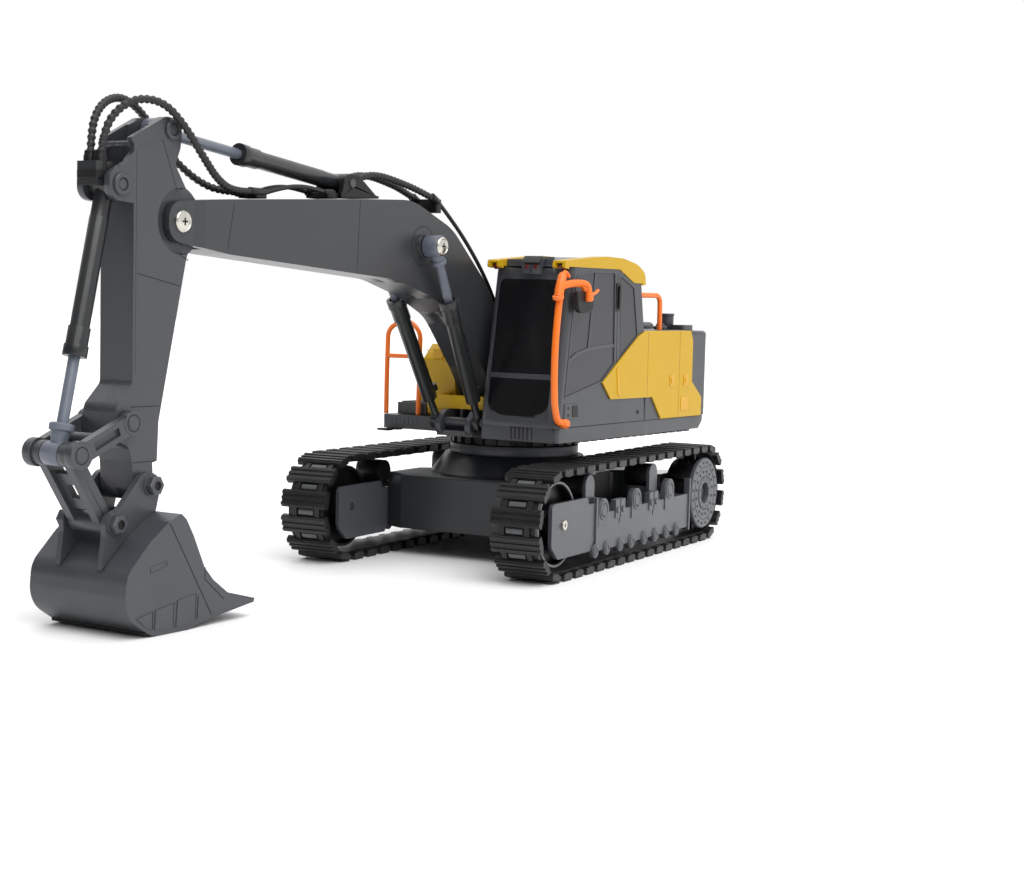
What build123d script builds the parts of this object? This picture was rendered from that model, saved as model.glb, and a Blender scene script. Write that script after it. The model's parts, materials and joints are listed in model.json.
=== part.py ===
"""Toy crawler excavator as separate moulded pieces. Millimetres, +Z up, +X towards the bucket."""
from build123d import *
import os
from math import atan2, cos, degrees, hypot, pi, radians, sin, tan

os.makedirs("parts", exist_ok=True)

# Driving dimensions
SWING_AXIS = (-110.0, 0.74)  # place of the slewing axis, which centres the object's box on the origin
UNDER_TURN = 5.0            # degrees the undercarriage stands turned under the upper structure
FIT = 0.05                  # radial clearance of a shaft in its hole
WALL = 2.0                  # moulded wall

TRACK_OUT, TRACK_IN = 80.0, 51.0        # outer and inner edge of a track, from the middle
AXLE_Z = 30.0
IDLER_X, SPROCKET_X = 92.5, -110.0
IDLER_R, SPROCKET_R, COVER_R = 22.9, 23.6, 22.1
BELT_FRONT_X, BELT_REAR_X = 96.0, -113.0
BELT_IN_R, BELT_MID_R, BELT_OUT_R = 25.3, 27.6, 30.0
PAD_COUNT, PAD_LENGTH = 42, 9.8
SPROCKET_TEETH = 12

DECK_Z = 71.0               # underside of the upper structure
CAB_IN, CAB_OUT = 18.6, 68.3
CAB_TOP = 167.0
BAND_WIDTH = 8.5            # each yellow side of the roof

BOOM_HALF, ARM_HALF = 11.5, 9.8
PIVOT_FLOOR = 6.5            # half width of the arm between the boom's cheeks
BOOM_FOOT = (25.0, 93.0)
CYL_FOOT = (60.4, 79.0)
BOOM_CYL_TOP = (114.5, 175.6)
BOOM_CYL_Y_FOOT, BOOM_CYL_Y_TOP = 14.0, 19.0
ARM_PIVOT = (299.6, 179.8)
ARM_CYL_FOOT = (173.7, 205.0)
ARM_CYL_TOP = (305.6, 219.8)
BUCKET_CYL_FOOT = (336.6, 193.9)
ROCKER_PIVOT = (333.3, 91.4)
ROCKER_END = (363.6, 79.1)
LINK_END = (343.3, 48.4)
BUCKET_PIVOT = (321.1, 63.5)
BUCKET_HALF = 28.8
BARREL_R, COLLAR_R, ROD_R = 4.2, 5.3, 2.5

UNDER = Pos(*SWING_AXIS, 0) * Rot(0, 0, UNDER_TURN)
UPPER = Pos(*SWING_AXIS, 0)


# Helpers
def save(name, place, *shapes):
    """Write one node, moved from its own frame to the object's frame."""
    solids = [solid for shape in shapes for solid in (place * shape).solids()]
    export_step(Compound(children=solids), f"parts/{name}.step")


def closed_face(points, lift):
    """Face inside an outline; a third number at a point is its corner radius."""
    corners = [lift(p[0], p[1]) for p in points]
    radii = [p[2] if len(p) > 2 else 0 for p in points]
    return Face(Wire(FilletPolyline(*corners, radius=radii, close=True).edges()))


def side_prism(points, y_low, y_high):
    """Prism of an (x, z) outline between two y planes."""
    face = closed_face(points, lambda x, z: Vector(x, y_low, z))
    return extrude(face, amount=y_high - y_low, dir=(0, 1, 0))


def plan_prism(points, z_low, z_high):
    """Prism of an (x, y) outline between two heights."""
    face = closed_face(points, lambda x, y: Vector(x, y, z_low))
    return extrude(face, amount=z_high - z_low, dir=(0, 0, 1))


def block(x_range, y_range, z_range):
    """Box between two corners."""
    low = (x_range[0], y_range[0], z_range[0])
    size = [b - a for a, b in (x_range, y_range, z_range)]
    return Pos(*[a + s / 2 for a, s in zip(low, size)]) * Box(*size)


def cross_rod(centre, radius, y_low, y_high):
    """Cylinder along Y through an (x, z) point."""
    middle = Pos(centre[0], (y_low + y_high) / 2, centre[1])
    return middle * Rot(90, 0, 0) * Cylinder(radius, y_high - y_low)


def rod_between(start, end, radius):
    """Cylinder from one point to another."""
    path = Vector(*end) - Vector(*start)
    return Plane(origin=start, z_dir=path) * Cylinder(
        radius, path.length, align=(Align.CENTER, Align.CENTER, Align.MIN))


def mirrored(shape):
    """The same shape on the other side of the middle plane."""
    return mirror(shape, about=Plane.XZ)


def both(shape):
    return [shape, mirrored(shape)]


def smooth_path(points):
    """Straight runs joined by arcs as large as the runs allow; also returns the smallest radius."""
    places = [Vector(*p) for p in points]
    radii = []
    for before, here, after in zip(places, places[1:], places[2:]):
        run_in, run_out = here - before, after - here
        half_turn = radians(run_in.get_angle(run_out)) / 2
        radii.append(0.45 * min(run_in.length, run_out.length) / tan(half_turn))
    return FilletPolyline(*places, radius=radii), min(radii)


def tube(points, radius):
    """Hose or bent rod along a route."""
    path, tightest = smooth_path(points)
    print(f"tube length {path.length:.1f} tightest radius {tightest:.1f}")
    section = Plane(origin=path @ 0, z_dir=path % 0) * Circle(radius)
    return sweep(section, path=path)


def other_side(points):
    return [(x, -y, z) for x, y, z in points]


def along(start, end, distance):
    """Point at a distance from start towards end."""
    path = Vector(*end) - Vector(*start)
    return tuple(Vector(*start) + path * (distance / path.length))


# Undercarriage
def belt_point(distance, radius):
    """Place (x, z) and outward angle on the belt's loop, starting at the bottom of the front bend."""
    straight = BELT_FRONT_X - BELT_REAR_X
    bend = pi * BELT_MID_R
    distance %= 2 * (straight + bend)
    if distance < bend:
        angle = -pi / 2 + distance / BELT_MID_R
        return BELT_FRONT_X + radius * cos(angle), AXLE_Z + radius * sin(angle), angle
    distance -= bend
    if distance < straight:
        return BELT_FRONT_X - distance, AXLE_Z + radius, pi / 2
    distance -= straight
    if distance < bend:
        angle = pi / 2 + distance / BELT_MID_R
        return BELT_REAR_X + radius * cos(angle), AXLE_Z + radius * sin(angle), angle
    distance -= bend
    return BELT_REAR_X + distance, AXLE_Z - radius, -pi / 2


def stadium(radius, y_low, y_high):
    points = [(BELT_FRONT_X + radius, AXLE_Z - radius, radius * 0.999),
              (BELT_FRONT_X + radius, AXLE_Z + radius, radius * 0.999),
              (BELT_REAR_X - radius, AXLE_Z + radius, radius * 0.999),
              (BELT_REAR_X - radius, AXLE_Z - radius, radius * 0.999)]
    return side_prism(points, y_low, y_high)


def track_belt():
    """Belt with its raised pads, left side."""
    band = stadium(BELT_MID_R, TRACK_IN + 3, TRACK_OUT - 3) - stadium(BELT_IN_R, TRACK_IN, TRACK_OUT)
    loop = 2 * (BELT_FRONT_X - BELT_REAR_X) + 2 * pi * BELT_MID_R
    middle = (BELT_OUT_R + BELT_IN_R + 0.6) / 2
    pads = []
    for i in range(PAD_COUNT):
        x, z, angle = belt_point((i + 0.5) * loop / PAD_COUNT, middle)
        pad = Box(BELT_OUT_R - BELT_IN_R - 0.6, TRACK_OUT - TRACK_IN, PAD_LENGTH)
        pads.append(Pos(x, (TRACK_OUT + TRACK_IN) / 2, z) * Rot(0, -degrees(angle), 0) * pad)
    return band + pads - block((-160, 140), (TRACK_IN - 1, TRACK_OUT + 1), (-2, 0))


def idler_wheel():
    wheel = cross_rod((IDLER_X, AXLE_Z), IDLER_R, 59, 73.7)
    wheel -= cross_rod((IDLER_X, AXLE_Z), IDLER_R - 1.6, 69, 74)
    wheel -= cross_rod((IDLER_X, AXLE_Z), IDLER_R - 1.6, 58.9, 63)
    wheel += cross_rod((IDLER_X, AXLE_Z), 7, 58.9, 73.7)
    return wheel - cross_rod((IDLER_X, AXLE_Z), 2.5 + FIT, 50, 80)


def idler_yoke():
    outline = [(57, 12), (98, 12, 3), (106, 19, 5), (106, 42, 3), (62, 42), (60, 38), (52.4, 38),
               (52.4, 17)]
    cheeks = side_prism(outline, 75.4, 77.6) + side_prism(outline, 54.4, 56.6)
    yoke = cheeks + block((60, 63), (54.4, 77.6), (16, 38)) + block((50.2, 61), (62, 70), (18, 28))
    return yoke - cross_rod((IDLER_X, AXLE_Z), 2.5, 50, 80)


CARRIER_X = (52.0, -37.5)
PLATE_BOSSES = ((42.0, 33.2), (-4.0, 35.0), (-54.0, 36.5))
ROLLER_X = (51.7, 36.3, 17.7, 2.0, -17.0, -33.5, -50.5, -66.4)


def track_frame():
    """Closed beam inside the belt with the grey lobes that carry the upper run."""
    beam = block((-85, 50), (58, 75), (14, 31))
    for x in CARRIER_X:
        beam += block((x - 5, x + 5), (60, 72), (30, 40))
        lobe = [(x - 5.8, 30), (x + 5.8, 30), (x + 5.8, 53.4, 5.7), (x - 5.8, 53.4, 5.7)]
        beam += side_prism(lobe, 72.2, 74.2)
        beam -= cross_rod((x, 46.5), 6.9, 57.9, 72.2)
    return beam


def side_plate():
    plate = block((-85.5, 50), (75, 77.8), (11, 31.5))
    for x, z in PLATE_BOSSES:
        plate += cross_rod((x, z), 6.8, 70, 78.4) + block((x - 6.8, x + 6.8), (75, 78.4), (25, z))
        plate -= cross_rod((x, z), 4.6, 78.0, 79) - cross_rod((x, z), 3.6, 77, 79)
    for x in (19.0, -29.5):
        plate += block((x - 6.5, x + 6.5), (70, 78.4), (27, 37.5))
        plate -= block((x - 0.6, x + 0.6), (77.2, 79), (24, 39))
    for x in ROLLER_X:
        plate += cross_rod((x, 11.5), 3.9, 72, 78.6)
        plate -= cross_rod((x, 11.5), 1.6, 78.0, 79)
    for x in (50.0, -87.5):
        plate += side_prism([(x, 9, 0.8), (x + 2, 9, 0.8), (x + 2, 41), (x, 41)], 75, 78.6)
    return plate - block((-95, 60), (60, 75), (0, 60))


def carrier_roller(x):
    return cross_rod((x, 46.5), 6.8, 58, 72.0)


def drive_sprocket():
    """Toothed wheel with its shaft into the gearbox."""
    centre = (SPROCKET_X, AXLE_Z)
    wheel = cross_rod(centre, SPROCKET_R - 3.2, 60, 76.5)
    for i in range(SPROCKET_TEETH):
        tooth = Pos(SPROCKET_R - 2.4, 0, 0) * Box(4.8, 7, 3.4)
        turn = Pos(SPROCKET_X, 68.5, AXLE_Z) * Rot(0, 360 * i / SPROCKET_TEETH, 0)
        wheel += turn * tooth
    return wheel + cross_rod(centre, 3.0, 48, 61)


def sprocket_cover():
    centre = (SPROCKET_X, AXLE_Z)
    cover = cross_rod(centre, COVER_R, 76.5, 79.4)
    for radius in (10.4, 16.6):
        cover -= cross_rod(centre, radius + 0.4, 78.9, 80) - cross_rod(centre, radius - 0.4, 78, 81)
    return cover - cross_rod(centre, 6.8, 77.5, 80)


def track_gearbox():
    box = side_prism([(-122, 18, 4), (-88, 18, 2), (-88, 42, 2), (-122, 42, 4)], 45, 57.5)
    return box - cross_rod((SPROCKET_X, AXLE_Z), 3.0 + FIT, 47.5, 60)


def car_body():
    half = [(60, 0), (60, 42, 2), (53.8, 54.2), (20, 54.2, 2), (12, 44, 4), (-44, 44, 4), (-52, 54.2, 2),
            (-87.8, 54.2, 2), (-87.8, 0)]
    outline = half + [(p[0], -p[1]) + tuple(p[2:]) for p in half[-2:0:-1]]
    shell = plan_prism(outline, 15.5, 47)
    shell = fillet(shell.edges().filter_by(GeomType.LINE).group_by(Axis.Z)[-1], 1.5)
    shell += Pos(0, 0, 52.4) * Cone(49, 41, 11)
    cavity = block((-80, 52), (-40, 40), (10, 43))
    shell -= cavity
    shell -= Pos(0, 0, 50) * Cylinder(12 + FIT, 30)
    for side in (1, -1):
        shell += block((-85, 50), (side * 55.9 - 2, side * 55.9 + 2), (15.5, 31))
    return shell


def belly_cover():
    cover = block((-79.5, 51.5), (-39.5, 39.5), (14, 17))
    return cover - block((-22, -12), (-30, -24), (10, 20))


def power_switch():
    return block((-19.6, -15.6), (-28.5, -25.5), (13, 20))


# Upper structure
def deck():
    outline = [(66, 18.6, 2), (66, 68.3, 3), (-34, 68.3), (-90, 66.6), (-120, 66, 6), (-122.5, 0, 150),
               (-120, -66, 6), (20, -66), (42, -67, 3), (42, -20, 2), (50, -17), (50, 18.6)]
    plate = plan_prism(outline, DECK_Z, DECK_Z + 8)
    plate -= plan_prism([(60, 22), (60, 64), (-30, 64), (-30, 22)], DECK_Z + 2, DECK_Z + 9)
    plate -= plan_prism([(-36, -60), (-36, 60), (-98, 60), (-98, -60)], DECK_Z + 2, DECK_Z + 9)
    plate -= side_prism([(-110, 70.9), (-119.5, DECK_Z + 8.1), (-130, DECK_Z + 8.1), (-130, 70.9)], -70, 70)
    plate += side_prism([(-34.3, 78), (-34.3, 93.2), (-41.8, 93.2), (-53.4, 79.6), (-53.4, 78)], 64, CAB_OUT)
    plate += block((44, 64), (-12, 12), (DECK_Z, DECK_Z + 3))
    bracket = [(46, 72), (66, 72, 3), (66, 79.5, 5), (60, 85.5, 5), (46, 85.5)]
    plate += side_prism(bracket, 8.2, 11.6) + side_prism(bracket, -11.6, -8.2)
    plate -= cross_rod(CYL_FOOT, 2.5, -20, 20)
    foot = [(12, 78), (38, 78), (36, 98, 6), (27, 104, 6), (14, 98, 6)]
    plate += side_prism(foot, 12.2, 14.6) + side_prism(foot, -14.6, -12.2)
    plate -= Pos(SWING_MOTOR_X, 0, 76) * Cylinder(4.2, 12)
    return plate - cross_rod(BOOM_FOOT, 3.0, -20, 20)


SWING_MOTOR_X = -22.0
CAB_SIDE = [(66.2, 79.2), (61.5, 105), (57.1, 127), (50.6, CAB_TOP, 3), (1, CAB_TOP, 3), (-17, 159.6, 3),
            (-25.8, 159.6, 2), (-30.5, 132.6), (-34, 79.2)]
CAB_LEAN = -0.154           # forward move of the cab's front for each millimetre of height


FRONT_SWELL = 3.5


def leaning_block(inset):
    """Block with the cab's bowed, leaning front, shrunk by an inset."""
    low, high = CAB_IN + inset, CAB_OUT - inset
    front = 66.2 - inset + 0.6
    middle = (front + FRONT_SWELL, (low + high) / 2, 79.2)
    bow = ThreePointArc((front, low, 79.2), middle, (front, high, 79.2))
    rest = Polyline((front, high, 79.2), (-60, high, 79.2), (-60, low, 79.2), (front, low, 79.2))
    face = Face(Wire(bow.edges() + rest.edges()))
    face = face.fillet_2d(4.5 - inset, [corner for corner in face.vertices() if corner.X > 0])
    lean = Vector(CAB_LEAN, 0, 1)
    return extrude(face, amount=96 * lean.length, dir=lean)


def cab_solid(inset):
    """Cab between its sides, shrunk by an inset."""
    profile = [(p[0] + (FRONT_SWELL + 2 if p[0] > 40 else inset),
                p[1] - (inset if p[1] > 150 else 0), *p[2:])
               for p in CAB_SIDE]
    return leaning_block(inset) & side_prism(profile, CAB_IN + inset, CAB_OUT - inset)


DOOR_GLASS = [(58.2, 95.8), (53.4, 131.5), (48.2, 162.6, 3), (29.2, 164.9, 40), (5.8, 165.0, 2),
              (4.2, 113.6), (18.4, 103.8)]
REAR_GLASS = [(-1.0, 163.4, 1), (-17.2, 156.8, 2), (-22.8, 129.8), (-3.0, 117)]


def cab_shell():
    shell = cab_solid(0) - cab_solid(WALL)
    shell -= side_prism(DOOR_GLASS, CAB_OUT - 4, CAB_OUT + 2)
    shell -= side_prism(REAR_GLASS, CAB_OUT - 4, CAB_OUT + 2)
    return shell - front_opening(0)


def front_opening(inset):
    """Leaning block that cuts the windshield's opening, or fills it when cut back by an inset."""
    low, high = CAB_IN + 4.5 + inset, CAB_OUT - 5.5 - inset
    sill, head = 84.5 + inset, 160 - inset
    outline = [(low, sill, 9), (high, sill, 9), (high, head, 4), (low, head, 4)]
    face = closed_face(outline, lambda y, z: Vector(44 + CAB_LEAN * (z - 79), y, z))
    return extrude(face, amount=40, dir=(1, 0, 0))


def windshield():
    pane = front_opening(0.05) & (cab_solid(0.3) - cab_solid(1.9))
    return pane


def side_windows():
    panes = side_prism(DOOR_GLASS, CAB_OUT - 1.8, CAB_OUT - 0.5)
    rear_pane = side_prism(REAR_GLASS, CAB_OUT - 1.8, CAB_OUT - 0.5)
    return [offset(pane, amount=-0.04) for pane in (panes, rear_pane)]


ROOF_SIDE = [(52, CAB_TOP + 0.05), (52, 171.1), (44, 171.8), (16.8, 173.9, 60), (-3, 173.4, 40),
             (-20, 170.4, 25), (-29.6, 165.6, 6), (-30.6, 158.6, 1), (-27.6, 158.6), (-26.4, 159.65),
             (-17, 159.65), (1, CAB_TOP + 0.05)]


def roof_band(y_low, y_high):
    """Yellow side of the roof with the lamp housing at its front."""
    band = side_prism(ROOF_SIDE, y_low, y_high)
    visor = [(50, CAB_TOP + 0.05), (50, 171.3), (61.8, 170.3, 1), (62.6, 166.4, 1), (58.4, 165.8),
             (58, CAB_TOP + 0.05)]
    lamp = side_prism(visor, y_low + 0.4, y_high)
    lamp -= block((58.8, 70), (y_low + 2.4, y_high - 2), (164, 169))
    return band + lamp


def roof_panel():
    """Slate middle of the roof; its front carries on the windshield's lean."""
    low, high = CAB_IN + BAND_WIDTH - 0.4, CAB_OUT - BAND_WIDTH + 0.4
    profile = [(70, CAB_TOP + 0.05), (70, 170.4), (44, 171.2), (16.8, 173.1, 60), (-3, 172.6, 40),
               (-20, 169.6, 25), (-29, 164.8, 6), (-30, 158.9, 1), (-27.6, 158.9), (-26.4, 159.65),
               (-17, 159.65), (1, CAB_TOP + 0.05)]
    panel = side_prism(profile, low, high) & leaning_block(0.0)
    return panel - block((46, 70), (40.2, 52.2), (160, 180))


def sensor_box():
    outline = [(46.1, CAB_TOP + 0.05), (57.6, CAB_TOP + 0.05), (58.4, 162.8), (60.4, 162.6, 0.6),
               (61.2, 166.4, 1), (58.4, 172.3, 1.5), (46.1, 172.6)]
    return side_prism(outline, 40.3, 52.1)


YELLOW = [(18.2, 103), (3.1, 112.6), (-23.3, 129), (-31.6, 132), (-90.5, 132), (-93.5, 126), (-93.6, 100.8),
          (-107.1, 90.9), (-107.1, 79.6), (-53.5, 79.9), (-41.9, 92.9), (8.3, 93.3)]


def side_panel():
    """Yellow side door of the engine bay, which laps over the cab's lower rear."""
    return side_prism(YELLOW, CAB_OUT + 0.05, CAB_OUT + 1.0) + side_prism(
        [(-37, 93.5), (-37, 132), (-90.5, 132), (-93.3, 126), (-93.3, 100.8), (-106, 90.9), (-106, 79.4),
         (-54, 79.4), (-42.2, 93.5)],
        CAB_OUT - 4.2, CAB_OUT + 0.5)


def right_panel():
    outline = [(8, 79.4), (8, 93), (-8, 112), (-26, 129), (-32, 132), (-90.5, 132), (-93.3, 126),
               (-93.3, 100.8),
               (-106, 90.9), (-106, 79.4)]
    return side_prism(outline, -66, -62)


def engine_hood():
    """Cover over the engine bay, open underneath."""
    hood = block((-93, -36), (-61.8, 63.8), (79.4, 132.2))
    hood -= block((-91, -38), (-59.8, 61.8), (79, 130))
    cap = block((-104, -38), (-50, 36), (132.2, 136.4))
    return hood + fillet(cap.edges().group_by(Axis.Z)[-1], 2.5)


def exhaust_stack():
    stack = Pos(-104, 45, 136.4) * Cylinder(4.4, 10.6)
    return stack - Pos(-104, 45, 140) * Cylinder(3.0, 8)


def counterweight():
    outline = [(-93.6, 66), (-122, 66, 6), (-124.5, 0, 150), (-122, -66, 6), (-93.6, -66)]
    weight = plan_prism(outline, 79.3, 131.8)
    weight = fillet(weight.edges().group_by(Axis.Z)[-1].sort_by(Axis.X)[:-1], 2.4)
    notch = [(-93, 79), (-107.4, 79), (-107.4, 91.2), (-93.7, 101.2), (-93, 101.2)]
    weight -= side_prism(notch, 60, 70) + side_prism(notch, -70, -60)
    weight -= block((-116, -90), (-60, 60), (79, 127.5))
    return weight - Pos(-104, 45, 130) * Cylinder(4.45, 10)


def tool_box():
    outline = [(10, 79.3), (33, 79.3, 2), (38.5, 112.7, 2), (29.8, 121.4, 2), (4, 121.4), (-12, 108)]
    box = side_prism(outline, -40, -19)
    box -= side_prism([(12, 79), (30, 79), (35, 112), (29, 118), (6, 118)], -38, -21)
    return box + block((30, 53.5), (-26, -21), (85.7, 93.2)) + block((50.5, 53.5), (-26, 12), (85.7, 93.2))


def platform_covers():
    """Tread beside the tool box, and the tank cover behind it."""
    return block((-12, 33.4), (-61.8, -41), (79.2, 86)), block((-35, -13), (-61.5, -19.5), (79.2, 129))


def fender_rail():
    """Orange rail beside the right platform."""
    front = [(38, -66.8, 79.2), (38, -66.8, 104), (38, -66.4, 129), (38, -58, 133.8), (38, -50, 134),
             (37, -43.8, 128),
             (36.4, -44.4, 104), (36, -45, 79.2)]
    rail = tube(front, 1.4)
    return rail + rod_between((38, -66.6, 113.5), (36.7, -44.3, 113.5), 1.3)


def hood_rail():
    route = [(-27.3, 60, 152.8), (-62.4, 60, 153.0), (-65.6, 60, 150.2), (-65.9, 60, 132.3)]
    return tube(route, 1.5)


MIRROR_ARM = [(67.4, 68.7, 155.6), (60, 71.6, 157.9), (50.5, 73.4, 157.6), (48.2, 73.8, 154),
              (48.6, 74, 149)]


def grab_rail():
    """Upright at the cab's front left corner, with its stay to the cab and the mirror's arm."""
    route = [(61.5, 70.3, 81.8), (68.5, 70, 83.2), (71.2, 69.6, 92), (71.8, 69.2, 111), (70.4, 68.8, 131),
             (66.9, 68.6, 151), (63.4, 68.4, 162.6)]
    rail = tube(route, 1.9)
    stay = rod_between((65.4, 68, 156.4), (56.3, 65.4, 156.4), 1.3)
    return [rail + stay, tube(MIRROR_ARM, 1.7)]


def mirror_head():
    outline = [(59.5, 153.6, 1), (40, 154.2, 1), (40.8, 141.8, 4), (57.5, 142, 4)]
    return side_prism(outline, 71.8, 75.2) - tube(MIRROR_ARM, 1.7)


def swing_motor():
    return Pos(SWING_MOTOR_X, 0, 92) * Cylinder(9, 24) + Pos(SWING_MOTOR_X, 0, 76) * Cylinder(4, 9.9)


def battery_pack():
    return [Pos(x, 0, 29) * Rot(90, 0, 0) * Cylinder(7.1, 50) for x in (36, 21.5, 7, -7.5)]


def circuit_board():
    return block((-80, -40), (-45, 45), (95, 96.6))


# Boom and its cylinders
BOOM_SIDE = [(308.1, 171.3, 8.3), (308.1, 188.3, 8.3), (271, 191.3, 6), (165, 197.6), (125, 199.5, 45),
             (87, 186, 40), (54, 158.5, 30), (11, 103, 12), (17.5, 80, 11), (33.5, 80.5, 10),
             (40.5, 92, 12), (52, 107.5, 60),
             (80, 138, 30), (106, 149, 40), (138, 157.4, 60), (269, 166.2, 10)]


BOOM_HOLLOW = [(279, 170), (279, 188.5), (165, 195.2), (128, 196.6), (89.5, 183.6), (56, 155.6), (36, 130),
               (41.5, 98), (51.5, 111), (79, 141.5), (105, 151.8), (138, 160), (269, 168.6)]


def half_casing(points, hollow, half):
    """One moulded half, a tray with its open side at the middle plane."""
    return side_prism(points, 0, half) - side_prism(hollow, -1, half - WALL)


def boom_half():
    half = half_casing(BOOM_SIDE, BOOM_HOLLOW, BOOM_HALF)
    slot_end = ARM_PIVOT[0] - 17.2
    half += side_prism([(slot_end - 2, 168.5), (slot_end + 1, 168.5), (slot_end + 1, 189),
                        (slot_end - 2, 189)],
                       0, BOOM_HALF - 1)
    half -= block((slot_end, 320), (-1, PIVOT_FLOOR + 0.15), (150, 200))
    half += cross_rod(BOOM_FOOT, 7, 0, BOOM_HALF) + cross_rod(BOOM_CYL_TOP, 6.2, 0, BOOM_HALF + 2.4)
    half -= cross_rod(BOOM_FOOT, 3.0 + FIT, -1, 20)
    half -= cross_rod(ARM_PIVOT, 3.0, -1, 20)
    taper = [(285, 11.6), (292, 10.6), (312, 10.6), (312, 14), (270, 14), (270, 12)]
    half -= plan_prism(taper, 160, 200)
    half -= cross_rod(BOOM_CYL_TOP, 1.5, -1, 20)
    return half


def arm_cylinder_bracket():
    cheek = [(151, 198.6), (168.5, 209.5, 5), (179, 209.5, 5), (182.5, 197.2)]
    bracket = side_prism(cheek, 6, 8.8) + side_prism(cheek, -8.8, -6)
    bracket += side_prism([(151, 198.6), (151, 200), (182.5, 200), (182.5, 197.2)], -8.8, 8.8)
    return bracket - cross_rod(ARM_CYL_FOOT, 2.2, -10, 10)


def barrel(foot, top, length, y, eye_half, play=0.35):
    """Cylinder barrel with stepped collars and its foot eye; y is the side offset at foot and top."""
    start, end = (foot[0], y[0], foot[1]), (top[0], y[1], top[1])
    body = rod_between(along(start, end, 14.5), along(start, end, length), BARREL_R)
    body += rod_between(along(start, end, length - 13), along(start, end, length - 3.5), COLLAR_R - 0.5)
    body += rod_between(along(start, end, length - 5), along(start, end, length), COLLAR_R)
    body += cross_rod(foot, 4.9, y[0] - eye_half, y[0] + eye_half)
    body += rod_between(start, along(start, end, 16), min(BARREL_R - 0.2, eye_half))
    return body - rod_between(along(start, end, 17), along(start, end, length + 1), ROD_R + play)


def rod(foot, top, visible, inside, y, eye_half, eye_r):
    """Piston rod with its collar and eye."""
    start, end = (foot[0], y[0], foot[1]), (top[0], y[1], top[1])
    total = (Vector(*end) - Vector(*start)).length
    body = rod_between(along(start, end, total - visible - inside), along(start, end, total), ROD_R)
    body += rod_between(along(start, end, total - eye_r - 4.5), along(start, end, total - eye_r - 2), 4.0)
    body += rod_between(along(start, end, total - eye_r - 4), along(start, end, total), 3.4)
    return body + cross_rod(top, eye_r, y[1] - eye_half, y[1] + eye_half)


# Arm, linkage and bucket
ARM_SIDE = [(329.2, 211.5), (331.5, 214, 1), (309.5, 225.3, 5), (299, 224, 5.5), (300.4, 212, 6),
            (303.5, 204.5, 2),
            (293.5, 190, 3), (291, 176, 6), (296, 163, 3), (312.8, 91), (313.6, 73.5), (316.5, 73),
            (315.5, 56.5, 6), (328, 56.5, 6), (329, 74), (331.5, 81, 3), (339.3, 84, 6),
            (339, 98.5, 6), (329.2, 108, 4)]


ARM_HOLLOW = [(327, 202), (307, 202), (300, 188), (300, 170), (315, 92), (315.8, 76), (327, 76), (327, 104)]


def arm_half():
    half = half_casing(ARM_SIDE, ARM_HOLLOW, ARM_HALF)
    half += cross_rod(ARM_PIVOT, 16.4, 0, PIVOT_FLOOR) - cross_rod(ARM_PIVOT, 9, -1, PIVOT_FLOOR - 2)
    half += cross_rod(ARM_PIVOT, 6, 0, PIVOT_FLOOR)
    half += cross_rod(ARM_PIVOT, 16.4, 0, ARM_HALF - 0.5) & side_prism(ARM_SIDE, PIVOT_FLOOR, ARM_HALF)
    for centre in (ROCKER_PIVOT, BUCKET_PIVOT):
        half += cross_rod(centre, 5.4, 0, ARM_HALF)
    half += side_prism([(327, 211), (334.5, 203, 9), (343.6, 198.5, 5), (343.6, 187.5, 6),
                        (333, 186.5, 2), (327, 186)],
                       6.2, ARM_HALF)
    half -= cross_rod(ARM_PIVOT, 14.8, PIVOT_FLOOR, 20)
    half -= side_prism([(280, 205.5), (318, 205.5, 4), (322, 230), (280, 230)], -1, 5.0)
    half -= side_prism([(319, 203.5), (340, 203.5), (340, 232), (316, 232)], -1, 7.0)
    half += cross_rod((329.3, 211.6), 1.5, 0, 8)
    half -= cross_rod(ARM_PIVOT, 3.0 + FIT, -1, 20)
    half -= cross_rod(BUCKET_CYL_FOOT, 2.2, 4, 20) + cross_rod(ARM_CYL_TOP, 2.2, 4, 20)
    half -= cross_rod(ROCKER_PIVOT, 2.4 + FIT, -1, 20) + cross_rod(BUCKET_PIVOT, 2.4 + FIT, -1, 20)
    return half & block((250, 400), (0, 20), (0, 300))


def rocker_lever():
    """Side lever with a long recess, left side."""
    length = hypot(ROCKER_END[0] - ROCKER_PIVOT[0], ROCKER_END[1] - ROCKER_PIVOT[1])
    angle = degrees(atan2(ROCKER_END[1] - ROCKER_PIVOT[1], ROCKER_END[0] - ROCKER_PIVOT[0]))
    bar = Pos(length / 2, 0, 0) * (Box(length, 4.2, 8.6) - Pos(0, 1.6, 0) * Box(length - 17, 2.2, 3.6))
    place = Pos(ROCKER_PIVOT[0], 12.3, ROCKER_PIVOT[1]) * Rot(0, -angle, 0)
    lever = place * bar
    lever += cross_rod(ROCKER_PIVOT, 5.2, 10.2, 14.8) + cross_rod(ROCKER_END, 6.2, 10.2, 14.8)
    return lever - cross_rod(ROCKER_PIVOT, 2.4, 0, 20) - cross_rod(ROCKER_END, 2.3, 0, 20)


ROCKER_SPACER = (350.2, 84.6)


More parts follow.
